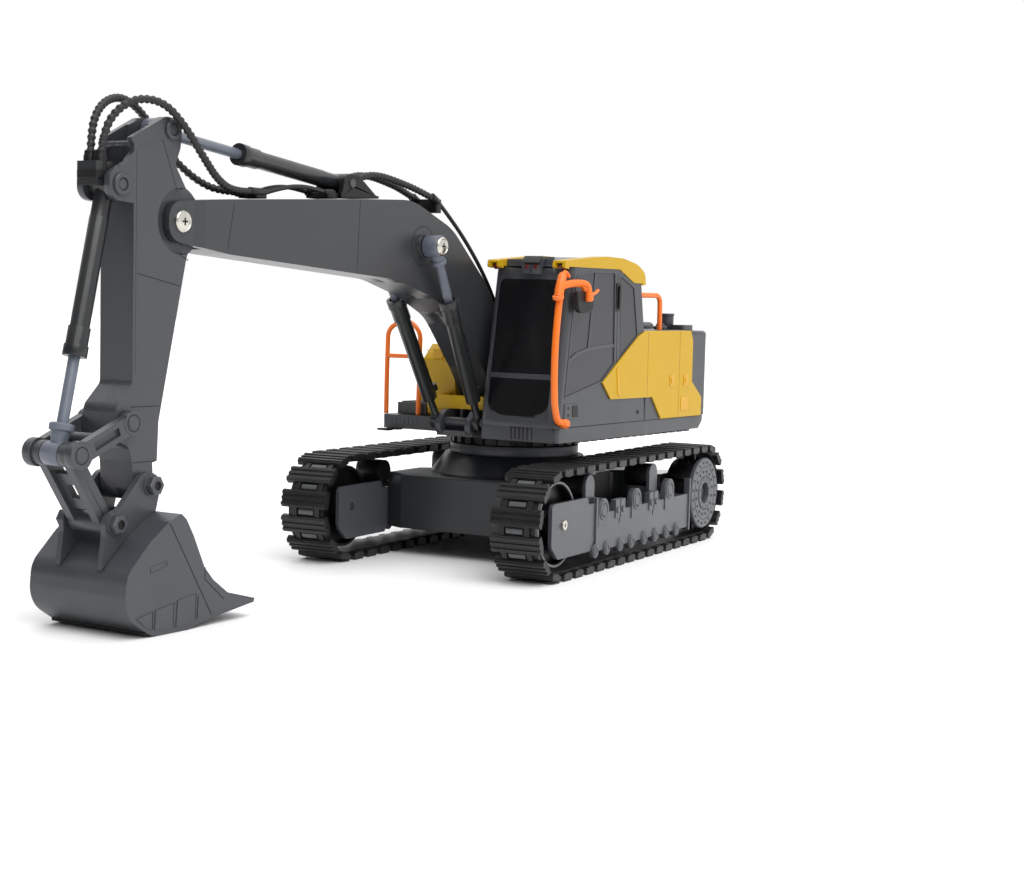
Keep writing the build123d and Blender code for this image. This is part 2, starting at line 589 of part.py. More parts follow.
def link_frame():
    """H-shaped link between the rocker's end and the bucket."""
    dx, dz = LINK_END[0] - ROCKER_END[0], LINK_END[1] - ROCKER_END[1]
    length, angle = hypot(dx, dz), degrees(atan2(dz, dx))
    place = Pos(ROCKER_END[0], 0, ROCKER_END[1]) * Rot(0, -angle, 0)
    frame = [place * Pos(length / 2, side * 7.6, 0) * Box(length, 4.2, 7.4) for side in (1, -1)]
    web = place * Pos(length * 0.53, 0, 0) * (Box(length * 0.52, 12, 2.4) - Box(length * 0.2, 6, 5))
    link = frame[0] + frame[1] + web + cross_rod(LINK_END, 4.6, -9.7, 9.7)
    for side in (1, -1):
        low, high = sorted((side * 5.4, side * 9.9))
        link += cross_rod(ROCKER_END, 5.4, low, high)
        link -= cross_rod(ROCKER_END, 2.3 + FIT, low - 0.01, high + 0.01)
    return link - cross_rod(LINK_END, 2.6, -20, 20)


BUCKET_SIDE = [(318, 52, 1), (314.6, 49.2), (310, 41.6), (302.6, 26.5), (296.7, 20.2), (287, 13.3),
               (268.3, 8.4),
               (269, 6.6), (297.6, 3.1, 60), (314, 0, 30), (335.5, 0, 12), (352.6, 11, 14), (351, 28.5, 12),
               (336.5, 41.8, 8), (325.5, 49)]
BUCKET_HOLLOW = [(250, 60), (316, 53), (320.5, 49.2), (324.4, 46.2), (334.6, 40, 8),
                 (348.4, 27.6, 10), (350, 12, 12),
                 (334.9, 2.3, 11), (314, 2.3, 30), (298, 5.3, 60), (281, 8.6), (250, 9.6)]


def bucket_shell():
    shell = side_prism(BUCKET_SIDE, -BUCKET_HALF, BUCKET_HALF)
    return shell - side_prism(BUCKET_HOLLOW, -BUCKET_HALF + 2, BUCKET_HALF - 2)


def bucket_ear():
    outline = [(318.5, 51.6), (315.6, 62, 4), (318, 69, 5), (327, 69, 6), (341, 54.5, 3), (349.3, 52, 5),
               (349, 43.5, 6), (351, 29.2), (336.5, 42), (325.5, 49.2)]
    ear = side_prism(outline, 11.2, 14.0)
    return ear - cross_rod(BUCKET_PIVOT, 2.4, 0, 20) - cross_rod(LINK_END, 2.4, 0, 20)


def hex_head(centre, y_low, y_high):
    across = 5.4
    points = [(centre[0] + across * cos(radians(60 * i)),
               centre[1] + across * sin(radians(60 * i))) for i in range(6)]
    return side_prism(points, y_low, y_high)


def bucket_bolts():
    through = cross_rod(BUCKET_PIVOT, 2.4, -17.5, 17.5)
    bolts = [through + hex_head(BUCKET_PIVOT, 14.1, 18) + hex_head(BUCKET_PIVOT, -18, -14.1)]
    stub = cross_rod(LINK_END, 2.4, 11.2, 17.5) + hex_head(LINK_END, 14.1, 18)
    return bolts + both(stub)


def screw_head(centre, y, radius):
    """Flat screw head with a cross recess, its face at y."""
    head = cross_rod(centre, radius, y - 1.4, y)
    for turn in (0, 90):
        slot = Rot(0, turn, 0) * Box(0.8, 1.2, radius)
        head -= Pos(centre[0], y, centre[1]) * slot
    return head


# Hoses: corrugated ones over the arm joint and over the boom's bend, thin ones between
HOSE_R, THIN_R = 1.9, 1.1
JUMPER_LEFT = [(342.5, 3, 203.6), (342.2, 3.8, 213), (338.5, 6, 224), (328, 9.5, 231.5), (314, 12.6, 231),
               (302, 14, 221.5), (289.5, 13.5, 209), (275, 9.5, 199.5), (259, 5.5, 195.4),
               (244.2, 4, 196.4)]
JUMPER_RIGHT = [(342.5, -3, 203.6), (341.8, -3.4, 213), (338.5, -4.6, 223.5), (329.5, -7, 231),
                (316, -10.4, 233.8),
                (302, -13.4, 229.5), (290, -14.4, 219.5), (279, -13.6, 208.5), (267.5, -9, 199.5),
                (256.5, -5.2, 196), (244.2, -4, 196.4)]
THIN_FRONT = [(235.8, 4, 196.4), (225, 4.4, 199.4), (212, 5.4, 201.2), (201, 5.6, 200.8),
              (191.2, 5.4, 199.4)]
BACK_FAT = [(167.6, 4, 206.4), (157, 4, 210.4), (143, 4, 211), (128, 4.2, 208.8), (113, 5, 206),
            (99.4, 6.2, 202)]
BACK_THIN = [(91.8, 6.4, 198.6), (78.5, 6.5, 189.6), (61, 6.5, 175.4), (44.5, 6.5, 159), (31, 6.5, 141),
             (24, 6.5, 127.6)]


def write_undercarriage():
    save("car_body", UNDER, car_body())
    save("belly_cover", UNDER, belly_cover())
    save("power_switch", UNDER, power_switch())
    save("battery_pack", UNDER, *battery_pack())
    ring = Pos(0, 0, 61) * Cylinder(38, 6) - Pos(0, 0, 61) * Cylinder(30, 7)
    save("slew_ring_lower", UNDER, ring)
    axle = cross_rod((IDLER_X, AXLE_Z), 2.5, 54.4, 77.6)
    save("idler_axles", UNDER, *both(axle), *both(screw_head((IDLER_X, AXLE_Z), 79.0, 2.6)))
    save("track_frames", UNDER, *both(track_frame()))
    save("side_plates", UNDER, *both(side_plate()))
    save("idler_yokes", UNDER, *both(idler_yoke()))
    save("track_gearboxes", UNDER, *both(track_gearbox()), *both(cross_rod((-66, 29), 7, 6, 34)))
    save("carrier_rollers", UNDER, *[part for x in CARRIER_X for part in both(carrier_roller(x))])
    for side, turn in (("left", lambda s: s), ("right", mirrored)):
        save(f"track_belt_{side}", UNDER, turn(track_belt()))
        save(f"idler_wheel_{side}", UNDER, turn(idler_wheel()))
        save(f"drive_sprocket_{side}", UNDER, turn(drive_sprocket()))
        save(f"sprocket_cover_{side}", UNDER, turn(sprocket_cover()))


def write_upper():
    save("deck", UPPER, deck())
    turntable = Pos(0, 0, 67.65) * Cylinder(36.5, 6.7) + Pos(0, 0, 55.2) * Cylinder(12, 19)
    save("slew_ring_upper", UPPER, turntable)
    save("foot_pins", UPPER, cross_rod(CYL_FOOT, 2.5, -18, 18), cross_rod(BOOM_FOOT, 3.0, -14.6, 14.6))
    save("cab_shell", UPPER, cab_shell())
    save("windows", UPPER, windshield(), *side_windows())
    save("roof_panel", UPPER, roof_panel())
    save("roof_bands", UPPER, roof_band(CAB_IN - 0.5, CAB_IN + BAND_WIDTH - 0.5),
         roof_band(CAB_OUT - BAND_WIDTH + 0.5, CAB_OUT + 0.5))
    save("sensor_box", UPPER, sensor_box())
    save("side_panels", UPPER, side_panel(), right_panel())
    save("engine_hood", UPPER, engine_hood())
    save("exhaust_stack", UPPER, exhaust_stack())
    save("counterweight", UPPER, counterweight())
    save("tool_box", UPPER, tool_box())
    save("platform_covers", UPPER, *platform_covers())
    save("handrails", UPPER, fender_rail(), hood_rail(), *grab_rail())
    save("mirror_head", UPPER, mirror_head())
    save("swing_motor", UPPER, swing_motor())
    save("circuit_board", UPPER, circuit_board())


def write_boom():
    half = boom_half()
    save("boom_casing_left", UPPER, half)
    save("boom_casing_right", UPPER, mirrored(half))
    save("arm_cylinder_bracket", UPPER, arm_cylinder_bracket())
    save("boom_pins", UPPER, cross_rod(ARM_PIVOT, 3.0, -10.6, 10.6),
         cross_rod(ARM_CYL_FOOT, 2.2, -9.4, 9.4))
    save("arm_pivot_screws", UPPER, *both(screw_head(ARM_PIVOT, 12.1, 4.9)))
    y = (BOOM_CYL_Y_FOOT, BOOM_CYL_Y_TOP)
    eye_half = 4.2
    save("boom_cylinder_barrels", UPPER, *both(
        barrel(CYL_FOOT, BOOM_CYL_TOP, 78.5, y, 2.1, 1.1) - cross_rod(CYL_FOOT, 2.5 + FIT, 0, 30)))
    save("boom_cylinder_rods", UPPER, *both(rod(CYL_FOOT, BOOM_CYL_TOP, 32.2, 41.5, y, eye_half, 5.9)))
    save("boom_cylinder_screws", UPPER, *both(screw_head(BOOM_CYL_TOP,
                                                         BOOM_CYL_Y_TOP + eye_half + 1.4, 4.9)))
    middle = (0, 0)
    arm_barrel = barrel(ARM_CYL_FOOT, ARM_CYL_TOP, 77.5, middle, 5.7)
    save("arm_cylinder_barrel", UPPER, arm_barrel - cross_rod(ARM_CYL_FOOT, 2.2 + FIT, -10, 10))
    save("arm_cylinder_rod", UPPER, rod(ARM_CYL_FOOT, ARM_CYL_TOP, 55.2, 35.5, middle, 4.6, 5.4))
    fat = [tube(BACK_FAT, HOSE_R), tube(other_side(BACK_FAT), HOSE_R)]
    thin = [tube(points, THIN_R) for points in
            (THIN_FRONT, other_side(THIN_FRONT), BACK_THIN, other_side(BACK_THIN))]
    save("boom_hoses", UPPER, *fat, *thin)
    front_clip = block((236, 244), (-6.3, 6.3), (193.6, 198.2))
    base_block = block((183, 191), (-7.6, 7.6), (196.8, 200.8))
    bend_clip = side_prism([(98.2, 204.4), (92.9, 201.4), (95.2, 192.6), (99.3, 194.6)], -8.2, 8.2)
    foot_clip = side_prism([(19.4, 128.4), (25.6, 126.4), (26.6, 124.4), (19.8, 115.8), (17, 119)], -9, 9)
    save("hose_clips", UPPER, front_clip, base_block, bend_clip, foot_clip)


def write_arm():
    half = arm_half()
    save("arm_casing_left", UPPER, half)
    save("arm_casing_right", UPPER, mirrored(half))
    stub = cross_rod(BUCKET_CYL_FOOT, 2.2, -10.6, 10.6)
    ear_pins = cross_rod(ARM_CYL_TOP, 2.2, 5.4, 10.6)
    save("arm_ear_pins", UPPER, stub, *both(ear_pins))
    foot, top = BUCKET_CYL_FOOT, ROCKER_END
    bucket_barrel = barrel(foot, top, 76, (0, 0), 5.7) - cross_rod(foot, 2.2 + FIT, -10, 10)
    bucket_barrel += block((337.6, 347.6), (-5.6, 5.6), (193, 203.3)) - cross_rod(foot, 4, -10, 10)
    save("bucket_cylinder_barrel", UPPER, bucket_barrel)
    save("bucket_cylinder_rod", UPPER, rod(foot, top, 42, 30, (0, 0), 4.9, 5.4))
    save("jumper_hoses", UPPER, tube(JUMPER_LEFT, HOSE_R), tube(JUMPER_RIGHT, HOSE_R))
    save("rocker_levers", UPPER, *both(rocker_lever()))
    end_pin = cross_rod(ROCKER_END, 2.3, 5.4, 14.8)
    spacer = cross_rod(ROCKER_SPACER, 3.0, -10.2, 10.2)
    save("rocker_pins", UPPER, cross_rod(ROCKER_PIVOT, 2.4, -14.8, 14.8), spacer, *both(end_pin))
    save("link_frame", UPPER, link_frame())
    save("bucket_shell", UPPER, bucket_shell() + both(bucket_ear()))
    save("bucket_bolts", UPPER, *bucket_bolts())


write_undercarriage()
write_upper()
write_boom()
write_arm()
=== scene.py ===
import json
from math import atan2, cos, pi, radians, sin, tan

import bmesh
import bpy
from mathutils import Matrix, Vector

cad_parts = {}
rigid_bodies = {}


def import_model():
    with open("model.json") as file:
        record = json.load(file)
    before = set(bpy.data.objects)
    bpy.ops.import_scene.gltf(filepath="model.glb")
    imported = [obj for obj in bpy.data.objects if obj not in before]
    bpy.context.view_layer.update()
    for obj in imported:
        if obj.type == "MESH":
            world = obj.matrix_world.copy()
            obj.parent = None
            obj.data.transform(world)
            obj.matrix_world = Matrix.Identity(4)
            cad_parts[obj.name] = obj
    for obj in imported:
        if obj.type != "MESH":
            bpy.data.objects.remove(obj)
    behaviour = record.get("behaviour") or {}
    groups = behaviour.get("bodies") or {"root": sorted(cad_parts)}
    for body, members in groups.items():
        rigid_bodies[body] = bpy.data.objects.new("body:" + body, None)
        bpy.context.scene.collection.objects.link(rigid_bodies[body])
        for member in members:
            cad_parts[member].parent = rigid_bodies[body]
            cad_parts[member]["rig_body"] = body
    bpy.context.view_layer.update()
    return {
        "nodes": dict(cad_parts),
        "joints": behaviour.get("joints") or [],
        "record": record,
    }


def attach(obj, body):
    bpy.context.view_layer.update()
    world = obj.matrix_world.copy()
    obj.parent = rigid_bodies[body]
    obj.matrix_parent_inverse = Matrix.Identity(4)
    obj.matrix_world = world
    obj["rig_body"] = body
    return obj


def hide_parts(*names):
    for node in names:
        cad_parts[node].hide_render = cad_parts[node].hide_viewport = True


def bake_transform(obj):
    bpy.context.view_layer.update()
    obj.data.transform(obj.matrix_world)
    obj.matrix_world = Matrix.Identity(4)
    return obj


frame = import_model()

# Millimetre drawing frame of the upper structure: origin on the slewing axis at the floor, +X forwards.
MM = 0.001
JOINTS = {joint["name"]: joint for joint in frame["joints"]}
SWING = Vector(JOINTS["swing"]["pos_m"])
TRACK_AXIS = Vector(JOINTS["sprocket_left_spin"]["axis"])
UPPER = Matrix.Translation((SWING.x, SWING.y, 0)) @ Matrix.Scale(MM, 4)
UNDER = UPPER @ Matrix.Rotation(atan2(-TRACK_AXIS.x, TRACK_AXIS.y), 4, "Z")


def drawn(point):
    """A point of the row frame, in metres, as a point of the drawing frame, in millimetres."""
    return UPPER.inverted() @ Vector(point)


BOOM_FOOT, ARM_PIVOT, BUCKET_PIVOT, ROCKER_PIVOT, ROCKER_END = (
    drawn(JOINTS[name]["pos_m"]) for name in
    ("boom_lift", "arm_swing", "bucket_curl", "rocker_pivot", "link_pivot"))
CYL_FOOT, BUCKET_CYL_FOOT = (
    drawn(JOINTS[name]["pos_m"]) for name in ("boom_barrel_pivot", "bucket_barrel_pivot"))
BOOM_HALF, ARM_HALF, BUCKET_HALF = 11.5, 9.8, 28.8
CAB_SIDE = 68.3


# Camera
def add_camera():
    """Eye-level view from the front left, aimed at the cab's foot."""
    data = bpy.data.cameras.new("camera")
    data.lens, data.sensor_width = 63.2, 36.0
    data.clip_start, data.clip_end = 0.05, 20
    camera = bpy.data.objects.new("camera", data)
    bpy.context.collection.objects.link(camera)
    view = Vector((-0.84357, -0.53107, -0.07972)).normalized()
    right = Vector((-0.53429, 0.84493, 0.02503))
    right = (right - view * right.dot(view)).normalized()
    up = right.cross(view)
    turn = Matrix((right, up, -view)).transposed().to_4x4()
    camera.matrix_world = Matrix.Translation(UPPER @ Vector((901.94, 566.13, 150.08))) @ turn
    bpy.context.scene.camera = camera


# Materials
def material(name, colour, roughness, metallic=0.0, mottle=0.08, grain=900.0, bump=0.05, spread=0.06,
             streak=(1, 1, 1), shine=0.5):
    """Moulded or metal surface: colour mottle, a roughness map and fine grain from noise."""
    made = bpy.data.materials.new(name)
    made.use_nodes = True
    made.diffuse_color = (*colour, 1)
    nodes, links = made.node_tree.nodes, made.node_tree.links
    shader = nodes["Principled BSDF"]
    shader.inputs["Metallic"].default_value = metallic
    shader.inputs["Specular IOR Level"].default_value = shine
    place = nodes.new("ShaderNodeTexCoord")
    stretch = nodes.new("ShaderNodeMapping")
    stretch.inputs["Scale"].default_value = streak
    links.new(place.outputs["Object"], stretch.inputs["Vector"])

    def noise(scale, detail):
        node = nodes.new("ShaderNodeTexNoise")
        node.inputs["Scale"].default_value = scale
        node.inputs["Detail"].default_value = detail
        links.new(stretch.outputs["Vector"], node.inputs["Vector"])
        return node.outputs["Fac"]

    def ramp(fac, low, high):
        node = nodes.new("ShaderNodeMapRange")
        node.inputs["From Min"].default_value, node.inputs["From Max"].default_value = 0.3, 0.7
        node.inputs["To Min"].default_value, node.inputs["To Max"].default_value = low, high
        links.new(fac, node.inputs["Value"])
        return node.outputs["Result"]

    shader.inputs["Base Color"].default_value = (*colour, 1)
    shader.inputs["Roughness"].default_value = roughness
    if mottle:
        blend = nodes.new("ShaderNodeMix")
        blend.data_type = "RGBA"
        blend.inputs["A"].default_value = (*[c * (1 - mottle) for c in colour], 1)
        blend.inputs["B"].default_value = (*[min(1, c * (1 + mottle)) for c in colour], 1)
        links.new(ramp(noise(38, 4), 0, 1), blend.inputs["Factor"])
        links.new(blend.outputs["Result"], shader.inputs["Base Color"])
    if spread:
        links.new(ramp(noise(60, 2), roughness - spread, roughness + spread), shader.inputs["Roughness"])
    if bump:
        relief = nodes.new("ShaderNodeBump")
        relief.inputs["Strength"].default_value = bump
        relief.inputs["Distance"].default_value = 0.0004
        links.new(noise(grain, 3), relief.inputs["Height"])
        links.new(relief.outputs["Normal"], shader.inputs["Normal"])
    return made


MATERIALS = {
    "slate_plastic": material("slate_plastic", (0.045, 0.048, 0.054), 0.34, mottle=0.03, bump=0,
                              spread=0.03),
    "frame_grey": material("frame_grey", (0.070, 0.075, 0.084), 0.36, mottle=0.03, bump=0, spread=0.03),
    "bucket_grey": material("bucket_grey", (0.047, 0.051, 0.058), 0.38, bump=0.08),
    "black_plastic": material("black_plastic", (0.007, 0.007, 0.008), 0.36, shine=0.3),
    "yellow_plastic": material("yellow_plastic", (0.53, 0.32, 0.008), 0.38, mottle=0.02, shine=0.28),
    "orange_rail": material("orange_rail", (0.86, 0.17, 0.010), 0.34, mottle=0.04),
    "tinted_window": material("tinted_window", (0.0045, 0.0045, 0.0055), 0.22, mottle=0, bump=0.01,
                              spread=0.02),
    "rod_plastic": material("rod_plastic", (0.115, 0.130, 0.165), 0.33, streak=(1, 1, 4)),
    "hose_rubber": material("hose_rubber", (0.010, 0.010, 0.011), 0.50, bump=0.12),
    "screw_steel": material("screw_steel", (0.62, 0.60, 0.54), 0.26, metallic=1.0, grain=2200, bump=0.1),
    "track_rubber": material("track_rubber", (0.0065, 0.0068, 0.0075), 0.46, bump=0.22, grain=1500),
    "battery_metal": material("battery_metal", (0.45, 0.45, 0.46), 0.3, metallic=1.0),
    "motor_steel": material("motor_steel", (0.5, 0.5, 0.5), 0.3, metallic=1.0),
}
SHADES = {
    # painted reflection: a lighter copy of the tinted window for the side panes, standing in for the bright
    # surroundings they reflect
    "side_glass_painted_reflection": material("side_glass_painted_reflection", (0.026, 0.026, 0.031), 0.30, mottle=0, bump=0.01, spread=0.02),
    "seam_dark": material("seam_dark", (0.004, 0.004, 0.005), 0.7),
    "yellow_seam": material("yellow_seam", (0.28, 0.14, 0.008), 0.6),
    "yellow_dark": material("yellow_dark", (0.62, 0.33, 0.012), 0.4, mottle=0.04),
    "lamp_red": material("lamp_red", (0.11, 0.010, 0.008), 0.12, bump=0.01),
    # Painted shade: the next three are darker copies of the slate plastic for the cylinder barrels, boom
    # casings and car body, which lie in shade. The first also serves as a plain dark slate on the camera
    # visor, counterweight plugs and cylinder elbows.
    "dark_slate_and_painted_shade": material("dark_slate_and_painted_shade", (0.013, 0.0142, 0.0155), 0.32),
    "boom_painted_shade": material("boom_painted_shade", (0.030, 0.0325, 0.036), 0.33, mottle=0, bump=0, spread=0),
    "body_painted_shade": material("body_painted_shade", (0.020, 0.0225, 0.026), 0.33, mottle=0, bump=0, spread=0),
    "guide_grey": material("guide_grey", (0.085, 0.09, 0.095), 0.36, bump=0.1),
    # painted highlight: a lighter grey for the idler's rim, in place of the light its rounded edge catches
    "rim_painted_highlight": material("rim_painted_highlight", (0.16, 0.165, 0.175), 0.35),
}


# Mesh building
def outline(corners, steps=6):
    """Closed outline; a third number at a corner is its radius, drawn as an arc."""
    points = []
    for i, corner in enumerate(corners):
        here = Vector(corner[:2])
        if len(corner) < 3 or not corner[2]:
            points.append(here)
            continue
        back = Vector(corners[i - 1][:2]) - here
        ahead = Vector(corners[(i + 1) % len(corners)][:2]) - here
        half = back.angle(ahead) / 2
        reach = min(corner[2] / tan(half), 0.495 * back.length, 0.495 * ahead.length)
        radius = reach * tan(half)
        middle = here + (back.normalized() + ahead.normalized()).normalized() * radius / sin(half)
        start, end = here + back.normalized() * reach - middle, here + ahead.normalized() * reach - middle
        first = atan2(start.y, start.x)
        sweep = (atan2(end.y, end.x) - first + pi) % (2 * pi) - pi
        for k in range(steps + 1):
            angle = first + sweep * k / steps
            points.append(middle + Vector((cos(angle), sin(angle))) * radius)
    return points


VIEWS = {"side": lambda u, v, w: (u, w, v), "plan": lambda u, v, w: (u, v, w),
         "front": lambda u, v, w: (w, u, v)}


class Shape:
    """Mesh under construction in the drawing frame, in millimetres."""

    def __init__(self):
        self.mesh = bmesh.new()

    def loft(self, rings, closed=True, caps=True):
        """Skin over rings with the same number of points."""
        rows = [[self.mesh.verts.new(point) for point in ring] for ring in rings]
        pairs = list(zip(rows, rows[1:])) + ([] if closed else [(rows[-1], rows[0])])
        for low, high in pairs:
            for k in range(len(low)):
                self.mesh.faces.new((low[k - 1], low[k], high[k], high[k - 1]))
        if closed and caps:
            self.mesh.faces.new(rows[0])
            self.mesh.faces.new(reversed(rows[-1]))
        return self

    def prism(self, corners, view, low, high, steps=6):
        points = outline(corners, steps)
        place = VIEWS[view]
        return self.loft([[place(u, v, w) for u, v in points] for w in (low, high)])

    def box(self, x, y, z):
        return self.prism([(x[0], y[0]), (x[1], y[0]), (x[1], y[1]), (x[0], y[1])], "plan", z[0], z[1])

    def lathe(self, centre, direction, profile, segments=56):
        """Turned shape from (distance along the axis, radius) pairs; a radius of 0 closes an end."""
        turn = Vector(direction).to_track_quat("Z", "Y")
        middle = Vector(centre)
        rows = []
        for along, radius in profile:
            if radius <= 0:
                rows.append([self.mesh.verts.new(middle + turn @ Vector((0, 0, along)))])
                continue
            rows.append([self.mesh.verts.new(middle + turn @ Vector((
                radius * cos(2 * pi * k / segments), radius * sin(2 * pi * k / segments), along)))
                for k in range(segments)])
        for low, high in zip(rows, rows[1:]):
            for k in range(segments):
                corners = [low[k - 1], low[k], high[k], high[k - 1]] if len(low) > 1 and len(high) > 1 else (
                    [low[0], high[k], high[k - 1]] if len(low) == 1 else [low[k - 1], low[k], high[0]])
                self.mesh.faces.new(corners)
        return self

    def ring(self, centre, direction, inner, outer, low, high, segments=56):
        """Closed ring with square edges."""
        profile = [(low, inner), (low, outer), (high, outer), (high, inner), (low, inner)]
        return self.lathe(centre, direction, profile, segments)

    def disc(self, centre, direction, radius, low, high, edge=0.25, segments=48):
        """Short cylinder with chamfered rims."""
        return self.lathe(centre, direction, [(low, 0), (low, radius - edge), (low + edge, radius),
                                              (high - edge, radius), (high, radius - edge), (high, 0)],
                          segments)

    def strip(self, points, view, low, high, width, closed=False):
        """Band of constant width along a line drawn in a view."""
        line = [Vector(point) for point in points]
        place = VIEWS[view]
        sides = []
        for i, here in enumerate(line):
            before = line[i - 1] if i or closed else None
            after = line[(i + 1) % len(line)] if i + 1 < len(line) or closed else None
            ways = [(b - a).normalized() for a, b in ((before, here), (here, after))
                    if a is not None and b is not None]
            normals = [Vector((-way.y, way.x)) for way in ways]
            middle = sum(normals, Vector((0, 0))).normalized()
            offset = middle * (width / 2) / max(0.35, middle.dot(normals[0]))
            sides.append((here + offset, here - offset))
        rings = [[place(*left, low), place(*right, low), place(*right, high), place(*left, high)]
                 for left, right in sides]
        return self.loft(rings, closed=not closed)

    def sweep(self, points, radii, segments=16):
        """Tube of varying radius along a fine line of points."""
        line = [Vector(point) for point in points]
        normal = None
        rings = []
        for i, here in enumerate(line):
            way = (line[min(i + 1, len(line) - 1)] - line[max(i - 1, 0)]).normalized()
            if normal is None:
                normal = way.orthogonal().normalized()
            normal = (normal - way * normal.dot(way)).normalized()
            side = way.cross(normal)
            rings.append([here + (normal * cos(2 * pi * k / segments) + side * sin(2 * pi * k / segments))
                          * radii[i] for k in range(segments)])
        return self.loft(rings)

    def mirrored(self):
        """Adds the same shapes on the other side of the middle plane."""
        made = bmesh.ops.duplicate(self.mesh,
                                   geom=self.mesh.verts[:] + self.mesh.edges[:] + self.mesh.faces[:])
        copies = [item for item in made["geom"] if isinstance(item, bmesh.types.BMVert)]
        bmesh.ops.scale(self.mesh, vec=(1, -1, 1), verts=copies)
        return self

    def piece(self, name, body, finish, slot=None, place=None, bevel=0.0, smooth=35, replaces=()):
        """Writes the mesh as a scene object that rides on a body."""
        bmesh.ops.recalc_face_normals(self.mesh, faces=self.mesh.faces)
        self.mesh.transform(UPPER if place is None else place)
        for face in self.mesh.faces:
            face.smooth = True
        for edge in self.mesh.edges:
            edge.smooth = len(edge.link_faces) == 2 and edge.calc_face_angle(0) < radians(smooth)
        data = bpy.data.meshes.new(name)
        self.mesh.to_mesh(data)
        self.mesh.free()
        made = bpy.data.objects.new(name, data)
        bpy.context.collection.objects.link(made)
        made.data.materials.append(MATERIALS.get(finish) or SHADES[finish])
        if bevel:
            soften(made, bevel)
        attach(made, body)
        if replaces:
            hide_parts(*replaces)
        return made


def soften(obj, width, segments=2):
    """Rounded edges, as a mould leaves them."""
    bevel = obj.modifiers.new("edges", "BEVEL")
    bevel.width = width * MM
    bevel.segments = segments
    bevel.limit_method = "ANGLE"
    bevel.angle_limit = radians(34)
    bevel.harden_normals = True
    bevel.use_clamp_overlap = True


# Painted shade: these CAD parts get a darker copy of their slate material in place of the shade they lie in.
PAINTED_SHADE_COPIES = {"barrel": "dark_slate_and_painted_shade", "boom_casing": "boom_painted_shade", "car_body": "body_painted_shade"}


def finish_nodes():
    """Materials and rounded edges on the CAD pieces that stay in view."""
    slots = {entry["node"]: entry["material_slot"] for entry in frame["record"]["subparts"]}
    sharp = {"bucket_shell", "boom_hoses", "jumper_hoses", "handrails", "track_belt_left",
             "track_belt_right"}
    for name, node in frame["nodes"].items():
        node.data.materials.clear()
        # painted shade: barrels, boom casings and car body take a darker slate copy instead of their slot
        # material
        shade = next((SHADES[own] for part, own in PAINTED_SHADE_COPIES.items() if part in name),
                     MATERIALS[slots[name]])
        node.data.materials.append(shade)
        if name in sharp:
            continue
        weld = node.modifiers.new("weld", "WELD")
        weld.merge_threshold = 0.00002
        soften(node, 0.3)


# Undercarriage
TRACK_OUT, TRACK_IN = 80.0, 51.0
AXLE_Z, FRONT_X, REAR_X = 30.0, 96.0, -113.0
BAND_R, OUT_R, IN_R = 27.6, 30.0, 25.3
PAD_COUNT = 42


def belt_place(distance):
    """Matrix on the belt's loop: local X runs along the belt, local Z points outwards."""
    straight, bend = FRONT_X - REAR_X, pi * BAND_R
    distance %= 2 * (straight + bend)
    if distance < bend:
        angle, x, z = -pi / 2 + distance / BAND_R, FRONT_X, AXLE_Z
    elif distance < bend + straight:
        angle, x, z = pi / 2, FRONT_X - (distance - bend), AXLE_Z
    elif distance < 2 * bend + straight:
        angle, x, z = pi / 2 + (distance - bend - straight) / BAND_R, REAR_X, AXLE_Z
    else:
        angle, x, z = -pi / 2, REAR_X + distance - 2 * bend - straight, AXLE_Z
    out = Vector((cos(angle), 0, sin(angle)))
    ahead = Vector((-sin(angle), 0, cos(angle)))
    place = Matrix((ahead, out.cross(ahead), out)).transposed().to_4x4()
    return Matrix.Translation((x, 0, z)) @ place


def add_part(shape, place, draw):
    """Draws into a shape with its own placement."""
    part = Shape()
    draw(part)
    part.mesh.transform(place)
    data = bpy.data.meshes.new("part")
    part.mesh.to_mesh(data)
    part.mesh.free()
    shape.mesh.from_mesh(data)
    bpy.data.meshes.remove(data)


def draw_pad(part, side):
    """Track shoe with three grousers and stepped ends, in the belt's local frame."""
    low, high = sorted((side * TRACK_IN, side * TRACK_OUT))
    base, top = IN_R + 0.9, OUT_R - 0.75
    profile = [(-4.9, base), (-4.9, top - 0.5), (-4.4, top)]
    for middle in (-3.1, 0.1, 3.2):
        profile += [(middle - 1.05, top), (middle - 0.7, OUT_R), (middle + 0.7, OUT_R), (middle + 1.05, top)]
    profile += [(4.7, top), (4.9, top - 0.4), (4.9, base)]
    part.loft([[(u, w, v) for u, v in profile] for w in (low, high)])
    part.box((-2.6, 2.6), (low - 0.0, high + 0.0), (base - 0.5, base + 0.5))


def draw_links(part, side):
    """Two link bars that show between neighbouring shoes."""
    for offset in (57.2, 72.0):
        low, high = sorted((side * (offset - 1.5), side * (offset + 1.5)))
        part.box((-2.6, 2.6), (low, high), (IN_R + 0.6, BAND_R + 0.7))


def draw_guide(part, side):
    low, high = sorted((side * 59.8, side * 69.4))
    part.prism([(-1.45, BAND_R - 0.5), (-1.45, BAND_R + 0.7, 0.4), (1.45, BAND_R + 0.7, 0.4),
                (1.45, BAND_R - 0.5)],
               "side", low, high, 2)


